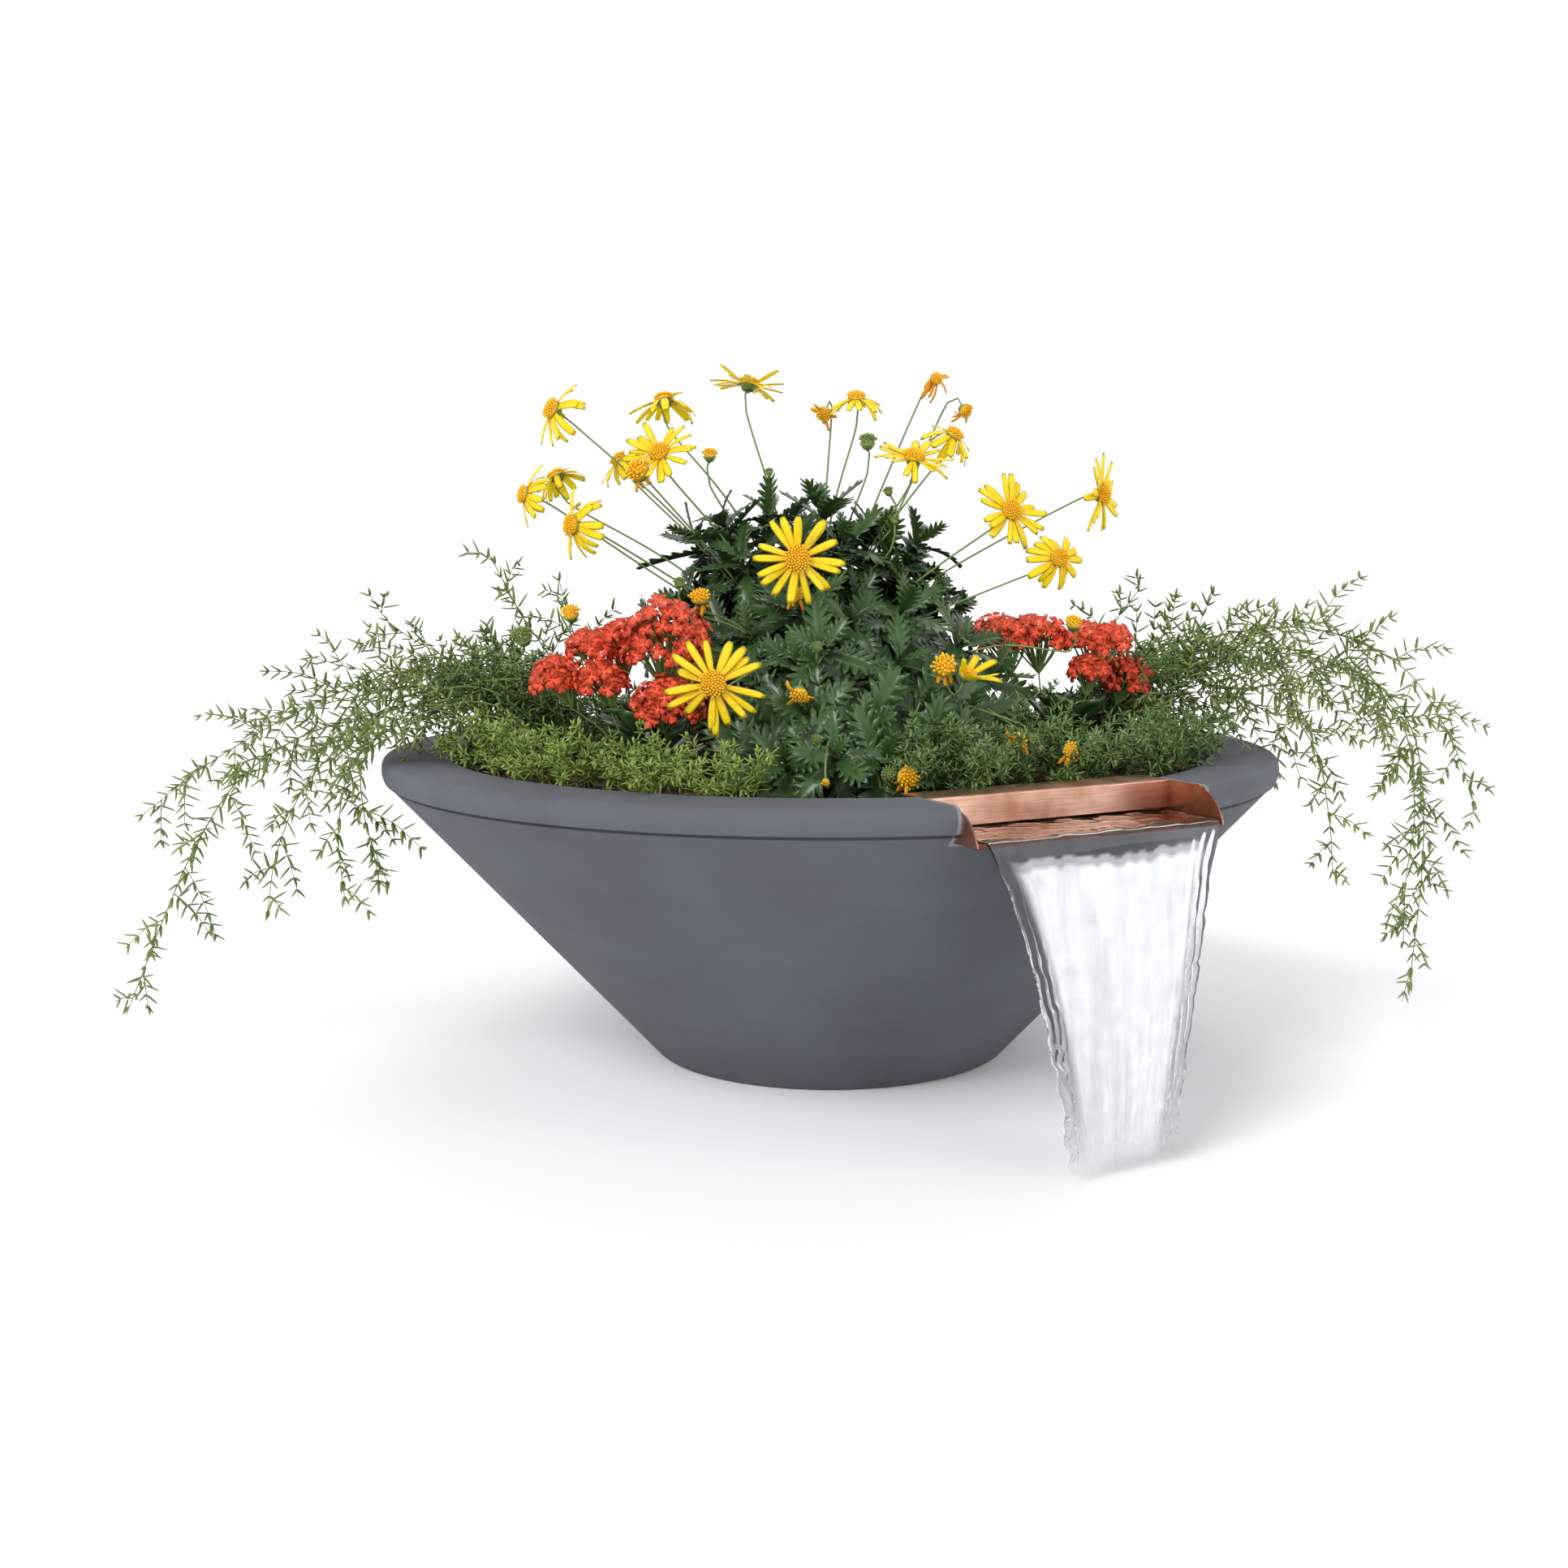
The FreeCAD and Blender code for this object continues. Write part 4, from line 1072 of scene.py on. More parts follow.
@dataclass
class DaisyBush:
    """The bush daisy in the middle: branches, rosettes of lobed leaves, and flowers on long bare stems."""

    patterns: Patterns
    middle: Point = (-16.0, 20.0, 412.0)
    spread: Point = (142.0, 128.0, 112.0)
    root: Point = (-20.0, 0.0, 330.0)
    stem_radius: float = 1.15
    branch_radius: float = 2.6
    dome_count: int = 46
    leaves_each: int = 9
    leaf_shortest: float = 34.0
    leaf_growth: float = 40.0  # from the innermost leaf of a rosette to the outermost
    leaf_step: float = 3.0  # down the branch from one leaf to the next
    petal_widths: tuple[float, float] = (6.8, 9.0)
    faded_widths: tuple[float, float] = (3.0, 5.0)
    fork_front: tuple[float, float] = (-110.0, 400.0)  # where the stems of low front heads start, in Y and Z
    open_radius: float = 24.0  # a head wider than this is an open flower
    scales: int = 13
    seed: int = 11

    def rosettes(self, rng: Rng) -> tuple[Rows, Rows]:
        """Where the leaf rosettes stand and which way they look."""
        middle, spread = np.array(self.middle), np.array(self.spread)
        count = self.dome_count
        k = np.arange(count)
        height = 0.92 - 1.5 * (k + 0.5) / count
        ring = np.sqrt(1 - np.clip(height, -1, 1) ** 2)
        turn = GOLDEN_TURN * k
        way = np.stack([ring * np.cos(turn), ring * np.sin(turn), height], -1)
        spots = middle + way * spread * rng.uniform(0.74, 1.04, (count, 1))
        looks = unit(way + 0.45 * UP)
        crest = np.array(CREST, float)
        leaning = unit((crest - np.array([-20.0, 10.0, 400.0])) * np.array([1.0, 1.0, 1.2]))
        spots, looks = np.vstack([spots, crest]), np.vstack([looks, leaning])
        front = np.array(SKIRT, float)
        outward = unit(front - 340.0 * UP + rng.normal(0, 18.0, front.shape))
        return np.vstack([spots, front]), np.vstack([looks, unit(outward + 0.35 * UP)])

    def leaves(self, name: str, rng: Rng, spots: Rows, looks: Rows) -> Piece:
        """The rosettes' leaves: small and upright inside, long and bowed outside."""
        copies = Copies()
        per = self.leaves_each
        for spot, look in zip(spots, looks):
            first, second = across(look)
            k = np.arange(per)
            turn = GOLDEN_TURN * k + rng.uniform(0, 6.28)
            open_by = np.radians(18 + 72 * (k / (per - 1)) ** 0.8 + rng.normal(0, 8, per))
            out = around(first, second, turn)
            lengthwise = look * np.cos(open_by)[:, None] + out * np.sin(open_by)[:, None]
            facing = look * np.sin(open_by)[:, None] - out * np.cos(open_by)[:, None]
            length = (self.leaf_shortest + self.leaf_growth * (k / (per - 1)) ** 0.6) * rng.uniform(0.82, 1.12, per)
            width = length * rng.uniform(0.58, 0.74, per)
            roots = spot - look * (k * self.leaf_step)[:, None]
            # Leaves deeper in the bush get a darker tone and outer ones a lighter: painted shade inside the bush, on
            # top of each leaf's random tone.
            inner = np.linalg.norm((roots - np.array(self.middle)) / np.array(self.spread), axis=1)
            tones = np.clip(rng.uniform(0.0, 1.0, per) * 0.75 + (inner - 0.7) * 0.4, 0, 1)
            kind = rng.integers(0, 3, per)
            for which, pattern in enumerate(self.patterns.leaves):
                m = kind == which
                copies.add(
                    pattern, roots[m], lengthwise[m], facing[m], np.stack([width, length, length], -1)[m], tones[m]
                )
        return copies.mesh(name, DAISY_LEAF)

    def branches(self, rng: Rng, spots: Rows, looks: Rows) -> Piece:
        """A branch from the root to each rosette."""
        lines = []
        root = np.array(self.root)
        for spot, look in zip(spots, looks):
            start = root + np.array([rng.uniform(-26, 26), rng.uniform(-26, 26), -30.0])
            bend = start + (spot - start) * 0.5 - 12.0 * UP + rng.normal(0, 6, 3)
            lines.append(curve_through(np.array([start, bend, spot - look * 16, spot + look * 2]), 16.0))
        return tubes("daisy_branches", lines, self.branch_radius, WOODY_STEM, 0.55)

    def stems(self, rng: Rng) -> Piece:
        """A long bare stem to each flower, that comes up behind it."""
        lines = []
        for head in HEADS:
            tip = head.middle()
            way = axis_of(head.heading, head.tilt)
            low = tip[1] < -120 and tip[2] < 500
            start = np.array([tip[0] * 0.3, *self.fork_front]) if low else np.array(self.root) + (0, 0, 60)
            start = start + rng.normal(0, 9, 3)
            run = np.linalg.norm(tip - start)
            bend = start + (tip - start) * 0.52 + 0.025 * run * UP + rng.normal(0, 0.012 * run, 3)
            behind = tip - way * min(26.0, run * 0.14) - 4.0 * UP
            lines.append(curve_through(np.array([start, bend, behind, tip - way * head.radius * 0.10]), 10.0))
        return tubes("daisy_flower_stems", lines, self.stem_radius, STEM, 0.85)

    def petals_of(self, head: Head, rng: Rng, fresh: Copies, faded: Copies) -> None:
        """The ray petals of one head."""
        way = axis_of(head.heading, head.tilt)
        first, second = across(way)
        old = head.stage in (Stage.WILTED, Stage.SPENT)
        habit = HABITS[head.stage]
        count = habit.petals
        turn = 2 * math.pi * np.arange(count) / count + rng.uniform(0, 6) + rng.normal(0, 0.09, count)
        if head.stage is Stage.HALF:
            turn = rng.uniform(0, 6) + np.linspace(0.0, 3.6, count)
        out = around(first, second, turn)
        rise = np.radians(habit.rise + rng.normal(0, 9.0, count))[:, None]
        lengthwise = out * np.cos(rise) + way * np.sin(rise)
        facing = way * np.cos(rise) - out * np.sin(rise)
        if old:
            lengthwise = unit(out * 0.55 - 0.9 * UP + rng.normal(0, 0.3, (count, 3)))
        disc = head.radius * 0.25
        length = (head.radius - disc * 0.7) * rng.uniform(0.84, 1.08, count)
        width = rng.uniform(*self.petal_widths, count) * min(1.0, head.radius / 38.0 + 0.12)
        if old:
            length = 9.0 + head.radius * rng.uniform(0.3, 0.7, count)
            width = rng.uniform(*self.faded_widths, count)
        sizes = np.stack([width, length, length], -1)
        origins = head.middle() + out * disc * 0.62 - way * disc * 0.1
        kind = np.array([habit.patterns[i] for i in rng.integers(0, len(habit.patterns), count)])
        patterns = self.patterns.curled if old else self.patterns.petals
        tones = np.clip(rng.normal(0.4, 0.28, count), 0, 1)
        for which in set(kind.tolist()):
            m = kind == which
            (faded if old else fresh).add(patterns[which], origins[m], lengthwise[m], facing[m], sizes[m], tones[m])

    def disc_of(self, head: Head, rng: Rng, discs: Copies, cups: Copies) -> None:
        """The dome of disc florets and the green cup behind it, or a closed bud."""
        way = axis_of(head.heading, head.tilt)
        first, second = across(way)
        middle = head.middle()
        wide = head.radius > self.open_radius
        closed = head.stage in (Stage.BUD, Stage.GREEN)
        radius = head.radius * (0.27 if wide else 0.62)
        core = cups if head.stage is Stage.GREEN else discs
        if closed:
            core.add(self.patterns.dome, middle, way, first, np.array([radius * 0.86] * 3), np.array([0.5]))
        else:
            discs.add(
                self.patterns.dome, middle, way, first, np.array([radius * 0.9, radius * 0.9, radius * 0.5]),
                np.array([0.3]),
            )
        cups.add(
            self.patterns.cup, middle - way * radius * 0.92, way, first,
            np.array([radius * 0.95, radius * 0.95, radius * 0.98]), np.array([0.4]),
        )
        count = 74 if wide else 34
        k = np.arange(count) + 0.5
        share = np.sqrt(k / count)
        turn = GOLDEN_TURN * k
        out = around(first, second, turn)
        high = np.sqrt(np.clip(1 - (share * 0.94) ** 2, 0, 1))[:, None]
        flat = 0.86 if closed else 0.5
        spots = middle + radius * 0.88 * (out * share[:, None] * 0.98 + way * high * flat)
        lengthwise = unit(out * share[:, None] * 0.9 + way * (0.35 + high))
        grain = radius * (0.2 if wide else 0.28)
        length = grain * rng.uniform(1.1, 1.7, count)
        sizes = np.stack([np.full(count, grain), np.full(count, grain), length], -1)
        facing = np.array([[0.0, 0.3, 1.0]])
        tones = np.clip(share + rng.normal(0, 0.15, count), 0, 1)
        core.add(self.patterns.floret, spots, lengthwise, facing, sizes, tones)
        out = around(first, second, 2 * math.pi * np.arange(self.scales) / self.scales)
        spots = middle - way * radius * 0.75 + out * radius * 0.45
        size = np.array([radius * 0.42, radius * 0.9, radius * 0.9])
        cups.add(self.patterns.scale, spots, unit(out * 0.75 + way * 0.8), -way, size, rng.uniform(0, 1, self.scales))

    def build(self) -> None:
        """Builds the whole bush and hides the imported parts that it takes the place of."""
        rng = np.random.default_rng(self.seed)
        spots, looks = self.rosettes(rng)
        high = spots[:, 2] > self.middle[2]
        leaves = self.leaves("daisy_upper_leaves", rng, spots[high], looks[high])
        skirt = self.leaves("daisy_lower_leaves", rng, spots[~high], looks[~high])
        for piece in (leaves, skirt):
            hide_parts("daisy_foliage")
        branches = self.branches(rng, spots, looks)
        stems = self.stems(rng)
        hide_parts("daisy_stems")
        fresh, faded, discs, cups = Copies(), Copies(), Copies(), Copies()
        for head in HEADS:
            if head.stage not in (Stage.BUD, Stage.GREEN):
                self.petals_of(head, rng, fresh, faded)
            self.disc_of(head, rng, discs, cups)
        petals = fresh.mesh("daisy_petals", YELLOW_PETAL)
        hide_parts("daisy_blooms")
        old = faded.mesh("daisy_faded_petals", FADED_PETAL)
        middles = discs.mesh("daisy_disc_florets", DISC_FLORET)
        green = cups.mesh("daisy_calyx_cups", CALYX)


# --- the kalanchoes


@dataclass
class Kalanchoe:
    """A kalanchoe: fleshy leaves low down, and heads of small red flowers on forked stalks."""

    patterns: Patterns
    side: str
    x: float
    y: float
    umbels: tuple[tuple[float, float, float, float, float], ...]  # middle, radius and half height of each head
    leaf_count: int = 34
    leaf_lengths: tuple[float, float] = (36.0, 50.0)
    leaf_height: float = 299.0  # of the lowest leaves
    stalk_height: float = 318.0  # where the stalks leave the leaves
    stalk_radius: float = 1.2
    floret_sizes: tuple[float, float] = (14.0, 17.5)
    bud_share: float = 0.14
    bud_width: float = 4.5
    seed: int = 21

    def foliage(self, rng: Rng) -> Piece:
        """Leaves in pairs up the stems, flat and low outside."""
        copies = Copies()
        k = np.arange(self.leaf_count)
        share = k / (self.leaf_count - 1)
        turn = GOLDEN_TURN * k
        out = np.stack([np.cos(turn), np.sin(turn), np.zeros_like(turn)], -1)
        rise = np.radians(rng.uniform(8, 30, len(k)) + 40 * share)[:, None]
        lengthwise = out * np.cos(rise) + UP * np.sin(rise)
        foot = np.array([self.x, self.y, self.leaf_height])
        roots = foot + out * rng.uniform(3, 24, (len(k), 1)) + UP * (share * 52)[:, None]
        length = rng.uniform(*self.leaf_lengths, len(k))
        sizes = np.stack([length * 0.62, length, length], -1)
        for which, pattern in enumerate(self.patterns.paddle):
            m = k % 2 == which
            copies.add(pattern, roots[m], lengthwise[m], UP, sizes[m], rng.uniform(0, 1, m.sum()))
        return copies.mesh(f"kalanchoe_{self.side}_foliage", SUCCULENT)

    def flowers(self, rng: Rng) -> tuple[Copies, Copies, list[Rows]]:
        """The florets and buds of every umbel, and the stalks that carry them."""
        red, buds, lines = Copies(), Copies(), []
        for x, y, z, radius, tall in self.umbels:
            middle = np.array([x, y, z])
            root = np.array([self.x + (x - self.x) * 0.3, self.y + (y - self.y) * 0.3, self.stalk_height])
            fork = middle + (root - middle) * 0.22 - radius * 0.35 * UP
            lines.append(curve_through(np.array([root, (root + fork) / 2 + rng.normal(0, 3, 3), fork]), 10.0))
            count = int(8 + radius * 0.85 + radius * tall * 0.014)
            k = np.arange(count) + 0.5
            high = 1.0 - 1.25 * k / count
            ring = np.sqrt(np.clip(1 - high**2, 0, 1))
            turn = GOLDEN_TURN * k
            way = np.stack([ring * np.cos(turn), ring * np.sin(turn), high], -1)
            spots = middle + way * np.array([radius, radius * 0.9, tall]) * rng.uniform(0.8, 1.05, (count, 1))
            look = unit(way + np.array([0.0, -0.35, 0.35]) + rng.normal(0, 0.16, (count, 3)))
            size = rng.uniform(*self.floret_sizes, count)
            spin = rng.normal(0, 1, (count, 3))
            bud = rng.uniform(0, 1, count) < self.bud_share
            red.add(
                self.patterns.star, (spots - look * size[:, None] * 0.75)[~bud], look[~bud], spin[~bud],
                size[~bud, None] * np.ones(3), rng.uniform(0, 1, (~bud).sum()),
            )
            thick = np.full(bud.sum(), self.bud_width)
            buds.add(
                self.patterns.bud, (spots - look * 5)[bud], look[bud], spin[bud],
                np.stack([thick, thick, rng.uniform(9, 13, bud.sum())], -1), rng.uniform(0, 1, bud.sum()),
            )
            for spot, face in zip(spots[::2], look[::2]):
                lines.append(curve_through(np.array([fork, (fork + spot) / 2 + (0, 0, 2), spot - face * 9]), 12.0))
        return red, buds, lines

    def build(self) -> None:
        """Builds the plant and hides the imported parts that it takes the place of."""
        rng = np.random.default_rng(self.seed)
        foliage = self.foliage(rng)
        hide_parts(f"kalanchoe_{self.side}_leaves")
        red, buds, lines = self.flowers(rng)
        florets = red.mesh(f"kalanchoe_{self.side}_florets", RED_FLORET)
        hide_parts(f"kalanchoe_{self.side}_blooms")
        closed = buds.mesh(f"kalanchoe_{self.side}_buds", RED_BUD)
        stalks = tubes(f"kalanchoe_{self.side}_stalks", lines, self.stalk_radius, STEM, 0.6)


# --- the ferns


@dataclass
class FernGrowth:
    """Needles and twigs of asparagus fern, as they come along lines."""

    patterns: Patterns
    rng: Rng
    copies: Copies = field(default_factory=Copies)

    def needles(
        self, line: Rows, gap: float, length: float, thick: float, tuft: int, open_deg: float, tone: float
    ) -> None:
        """Tufts of needles along a line, shorter to its end.

        Args:
            line: The twig's line in layout millimetres.
            gap: The distance between tufts.
            length: The needles' length at the start.
            thick: The needles' width.
            tuft: How many grow at one place.
            open_deg: The angle between a needle and its twig.
            tone: The twig's own tone, from 0 to 1.
        """
        rng = self.rng
        spots, ways, share = at_gaps(line, gap, gap * 0.5)
        if not len(spots):
            return
        count = len(spots)
        first, second = across(ways)
        turn = (GOLDEN_TURN * np.arange(count))[:, None] + np.arange(tuft) * 2 * math.pi / tuft
        turn = turn + rng.normal(0, 0.35, turn.shape)
        out = first[:, None] * np.cos(turn)[..., None] + second[:, None] * np.sin(turn)[..., None]
        lean = np.radians(open_deg * (1 - 0.35 * share)[:, None] + rng.normal(0, 9, turn.shape))[..., None]
        lengthwise = (ways[:, None] * np.cos(lean) + out * np.sin(lean)).reshape(-1, 3)
        sizes = (length * (1 - 0.45 * share)[:, None] * rng.uniform(0.7, 1.15, turn.shape)).ravel()
        roots = np.repeat(spots, tuft, axis=0)
        spread = np.stack([np.full(len(sizes), thick * 1.35), np.full(len(sizes), thick * 0.8), sizes], -1)
        tones = np.clip(tone + rng.normal(0, 0.16, len(sizes)), 0, 1)
        self.copies.add(self.patterns.needle, roots, lengthwise, UP, spread, tones)

    def twig(self, line: Rows, thick: float, tone: float) -> None:
        """A thin twig along a line, thinner to its end."""
        steps = np.diff(line, axis=0)
        length = np.linalg.norm(steps, axis=1)
        width = thick * np.linspace(1.0, 0.55, len(steps))
        sizes = np.stack([width, width, length * 1.06], -1)
        self.copies.add(
            self.patterns.twig, line[:-1], steps, np.array([0.0, 0.1, 1.0]), sizes, np.full(len(steps), tone)
        )

    def branched(
        self, line: Rows, gap: float, reach: float, needle: float, thick: float, sag: float, tuft: int = 3
    ) -> None:
        """Side twigs with needles along a shoot, longest in its middle.

        Args:
            line: The shoot's line in layout millimetres.
            gap: The distance between side twigs.
            reach: The longest side twig.
            needle: The longest needle.
            thick: The needles' width.
            sag: How much the side twigs hang, from 0 to 1.
            tuft: How many needles grow at one place.
        """
        rng = self.rng
        spots, ways, share = at_gaps(line, gap, gap)
        if not len(spots):
            return
        first, second = across(ways)
        for k, (spot, way, part) in enumerate(zip(spots, ways, share)):
            turn = GOLDEN_TURN * k + rng.normal(0, 0.4)
            out = first[k] * math.cos(turn) + second[k] * math.sin(turn)
            long = reach * (0.35 + 0.65 * math.sin(math.pi * min(1.0, 0.18 + 0.80 * part))) * rng.uniform(0.6, 1.1)
            heading = unit((way * rng.uniform(0.45, 0.9) + out)[None])[0]
            end = spot + heading * long - sag * long * 0.35 * UP
            bend = spot + heading * long * 0.5 + 0.04 * long * UP
            twig = curve_through(np.array([spot, bend, end]), max(6.0, long / 6))
            tone = float(rng.uniform(0, 1))
            self.twig(twig, thick * 0.55, tone)
            self.needles(twig, needle * 0.46, needle * (1.0 - 0.2 * part), thick, tuft, 68.0, tone)
        self.needles(line[len(line) // 3 :], needle * 0.6, needle * 0.95, thick, 2, 56.0, 0.4)


@dataclass
class TrailingFern:
    """The long arching shoots on one side, from a crown in the soil, over the rim and down."""

    patterns: Patterns
    side: str
    shoots: tuple[tuple[Point, ...], ...]
    crown: Point
    fill_low: Point
    fill_high: Point
    fill_count: int
    stands_for: tuple[str, ...]
    seed: int
    shoot_radius: float = 1.3
    gap: float = 30.0
    reach: float = 84.0
    needle: float = 26.0
    needle_width: float = 2.8
    sag: float = 0.35
    arch: float = 42.0  # how far the short shoots of the crown rise

    def build(self) -> None:
        """Builds the shoots with their twigs and needles."""
        rng = np.random.default_rng(self.seed)
        outer = FernGrowth(self.patterns, rng)
        inner = FernGrowth(self.patterns, rng)
        lines = []
        for points in self.shoots:
            line = curve_through(np.array(points, float), 9.0)
            lines.append(line)
            outer.branched(line[len(line) // 8 :], self.gap, self.reach, self.needle, self.needle_width, self.sag)
        crown = np.array(self.crown)
        for _ in range(self.fill_count):
            start = crown + rng.normal(0, 12, 3) * np.array([1.0, 1.4, 0.0])
            tip = rng.uniform(self.fill_low, self.fill_high)
            bend = start + (tip - start) * 0.5 + self.arch * UP
            line = curve_through(np.array([start, bend, tip]), 9.0)
            lines.append(line)
            inner.branched(line, 15.0, 48.0, 18.0, self.needle_width * 0.9, 0.15)
        stems = tubes(f"fern_{self.side}_shoots", lines, self.shoot_radius, STEM, 0.35)
        spray = outer.copies.mesh(f"fern_{self.side}_spray_needles", FERN_TRAIL)
        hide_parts(*self.stands_for)
        # The crown's needles take the darker fern colours: painted shade under the arching shoots.
        bed = inner.copies.mesh(f"fern_{self.side}_crown_needles", FERN_PAINTED_SHADE)


@dataclass
class FernCarpet:
    """Short bushy sprigs along an arc inside the rim."""

    patterns: Patterns
    name: str
    radius: float
    half_width: float
    height: float
    first_deg: float
    last_deg: float
    count: int
    finish: Finish
    seed: int
    needle: float = 17.0
    needle_width: float = 2.3
    root_height: float = 297.0
    twig_gap: float = 13.0
    twig_reach: float = 24.0

    def build(self) -> None:
        """Builds the sprigs, which lean out over the rim where they are near it."""
        rng = np.random.default_rng(self.seed)
        growth = FernGrowth(self.patterns, rng)
        angles = np.radians(np.linspace(self.first_deg, self.last_deg, self.count) + rng.normal(0, 1.4, self.count))
        for angle in angles:
            out = np.array([math.cos(angle), math.sin(angle), 0.0])
            share = rng.uniform(-1.0, 1.0)
            base = out * (self.radius + share * self.half_width * 0.8) + self.root_height * UP
            lean = out * (0.25 + 0.75 * share) + rng.normal(0, 0.42, 3) * np.array([1.0, 1.0, 0.0])
            tall = self.height * rng.uniform(0.72, 1.2)
            tip = base + lean * tall * 0.62 + tall * (0.95 - 0.35 * abs(share)) * UP
            bend = base + (tip - base) * 0.5 + tall * 0.16 * UP
            line = curve_through(np.array([base, bend, tip]), 7.0)
            growth.twig(line, 1.3, 0.5)
            growth.branched(line, self.twig_gap, self.twig_reach, self.needle, self.needle_width, 0.05, 4)
        piece = growth.copies.mesh(self.name + "_sprigs", self.finish)
        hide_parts(self.name)


# --- the water


@dataclass
class WaterSheet:
    """The film in the tray and the sheet that falls from its lip, as one thin body of water."""

    tray_back: float
    lip_out: float
    top: float
    fall: tuple[tuple[float, float, float], ...] = (  # height, distance out and half width, in millimetres
        (287.4, 462.0, 122.0), (279.0, 466.0, 119.0), (262.0, 469.0, 112.0), (245.0, 472.0, 105.0),
        (190.0, 480.0, 90.0), (127.0, 486.0, 76.0), (70.0, 489.0, 64.0), (4.0, 490.0, 53.0),
    )
    half_width: float = 125.0
    film_height: float = 2.4
    reach: float = 493.0  # as far out as it may swell
    thickness: float = 1.2
    rib_thickness: float = 4.6
    columns: int = 110
    rows: int = 150

    def course(self, way: Rows) -> tuple[Rows, Rows, Rows]:
        """The course of the water.

        Args:
            way: Shares of the way, from the back of the tray at 0 to the foot of the fall at 1.

        Returns:
            The height, the distance out and the half width there, in millimetres.
        """
        over_tray = np.linspace(self.tray_back, self.lip_out - 2.0, 8)
        film = [(self.top + self.film_height, distance, self.half_width) for distance in over_tray]
        path = curve_through(np.array([*film, *self.fall]), 3.0)
        run = np.concatenate([[0.0], np.cumsum(np.linalg.norm(np.diff(path[:, :2], axis=0), axis=1))])
        height, out, half = (np.interp(way * run[-1], run, path[:, k]) for k in range(3))
        return height, out, half

    def whiteness(self, u: Rows, fallen: Rows, rough: Rows, slow: Rows) -> Rows:
        """How much air the water holds: none over the lip and at its edges, most in the middle of the fall.

        Args:
            u: Places across the sheet, from -1 to 1.
            fallen: How far the water has fallen there, in millimetres.
            rough: Coarse noise on the sheet.
            slow: Noise that changes across the sheet only.

        Returns:
            The whiteness, from 0 to 1.
        """
        below = np.clip(fallen / self.top, 0.0, 1.0)
        brim = 14.0 + 2.0 * np.sin(u * 5.0 + 1.0) + 1.1 * np.sin(u * 37.0 + 2.0 * slow) + 0.9 * np.sin(u * 23.0)
        inside = 1.0 - np.clip((np.abs(u) - 0.82 + 0.22 * below) / 0.10, 0.0, 1.0)
        first = 0.4 * np.clip((fallen - brim) / 2.0, 0.0, 1.0)
        second = 0.6 * np.clip((fallen - brim - 7.0) / 4.0, 0.0, 1.0)
        return np.clip((first + second) * inside * (0.86 + 0.14 * rough) * (1.0 - 0.25 * below), 0.0, 1.0)

    def solidify(self, piece: Piece, ribs: Rows) -> None:
        """Gives the sheet its thickness, which grows with the weight of its ribs."""
        group = piece.vertex_groups.new(name="ribs")
        for k, weight in enumerate(ribs.tolist()):
            group.add([k], weight, "REPLACE")
        wall = piece.modifiers.new("wall", "SOLIDIFY")
        wall.thickness = self.rib_thickness * MM
        wall.offset = 0.0
        wall.vertex_group = "ribs"
        wall.thickness_vertex_group = self.thickness / self.rib_thickness
        bpy.context.view_layer.objects.active = piece
        bpy.ops.object.modifier_apply(modifier="wall")
        bpy.ops.object.shade_smooth()

    def build(self) -> None:
        """Shapes a grid along the tray and down the fall, ripples it, and gives it its thickness."""
        piece = primitive(
            "grid", x_subdivisions=self.columns, y_subdivisions=self.rows, size=2.0, location=(0, 0, 0)
        )
        piece.name = "water_sheet"
        mesh = piece.data
        flat = np.empty(len(mesh.vertices) * 3, np.float32)
        mesh.vertices.foreach_get("co", flat)
        flat = flat.reshape(-1, 3).astype(float)
        u, v = flat[:, 0], (1.0 - flat[:, 1]) / 2.0
        z, out, half = self.course(v)
        fallen = self.top - z
        below = np.clip(fallen / self.top, 0.0, 1.0)
        edge = np.clip((np.abs(u) - 0.68) / 0.20, 0.0, 1.0)
        rough = np.array([noise.noise(Vector((a * 5.0, b * 26.0, 0.0))) for a, b in zip(u, v)])
        fine = np.array([noise.noise(Vector((a * 17.0, b * 9.0, 3.0))) for a, b in zip(u, v)])
        slow = np.array([noise.noise(Vector((a * 4.0, 1.0, 7.0))) for a in u])
        wave = 0.9 * rough + 1.3 * fine * below + 0.5 * np.sin(u * 26.0 + 4.0 * rough) * below
        beads = 1.6 * edge * below * (1.0 + 0.7 * np.sin(v * 70.0 + 5.0 * rough))
        swell = (wave * (0.3 + 0.5 * below + edge * below) + beads) * np.clip(below * 8.0, 0.0, 1.0)
        sway = edge * below * 2.0 * np.sin(v * 62.0 + 3.0 * u + 4.0 * rough)
        lift = np.where(out < self.lip_out, 1.5 * rough + 0.5 * fine, 0.0)
        placed = np.stack([u * half + np.sign(u) * sway, -np.minimum(out + swell, self.reach), z + lift], -1) * MM
        mesh.vertices.foreach_set("co", placed.astype(np.float32).ravel())
        for name, values in (
            ("foam", self.whiteness(u, fallen, rough, slow)),
            ("fade", np.clip((z - 6.0) / 52.0, 0.0, 1.0)),
        ):
            mesh.attributes.new(name, "FLOAT", "POINT").data.foreach_set("value", values.astype(np.float32))
        mesh.update()
        rib = 0.5 + 0.5 * np.sin(np.abs(u) * 74.0 + 1.6 * rough)
        self.solidify(piece, np.clip(edge * rib * 1.3, 0.0, 1.0) * np.clip(below * 9.0, 0.0, 1.0))
        coat(piece, WATER)
        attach(piece, BODY)
        log.info("water_sheet: %d faces", len(piece.data.polygons))


# --- the studio


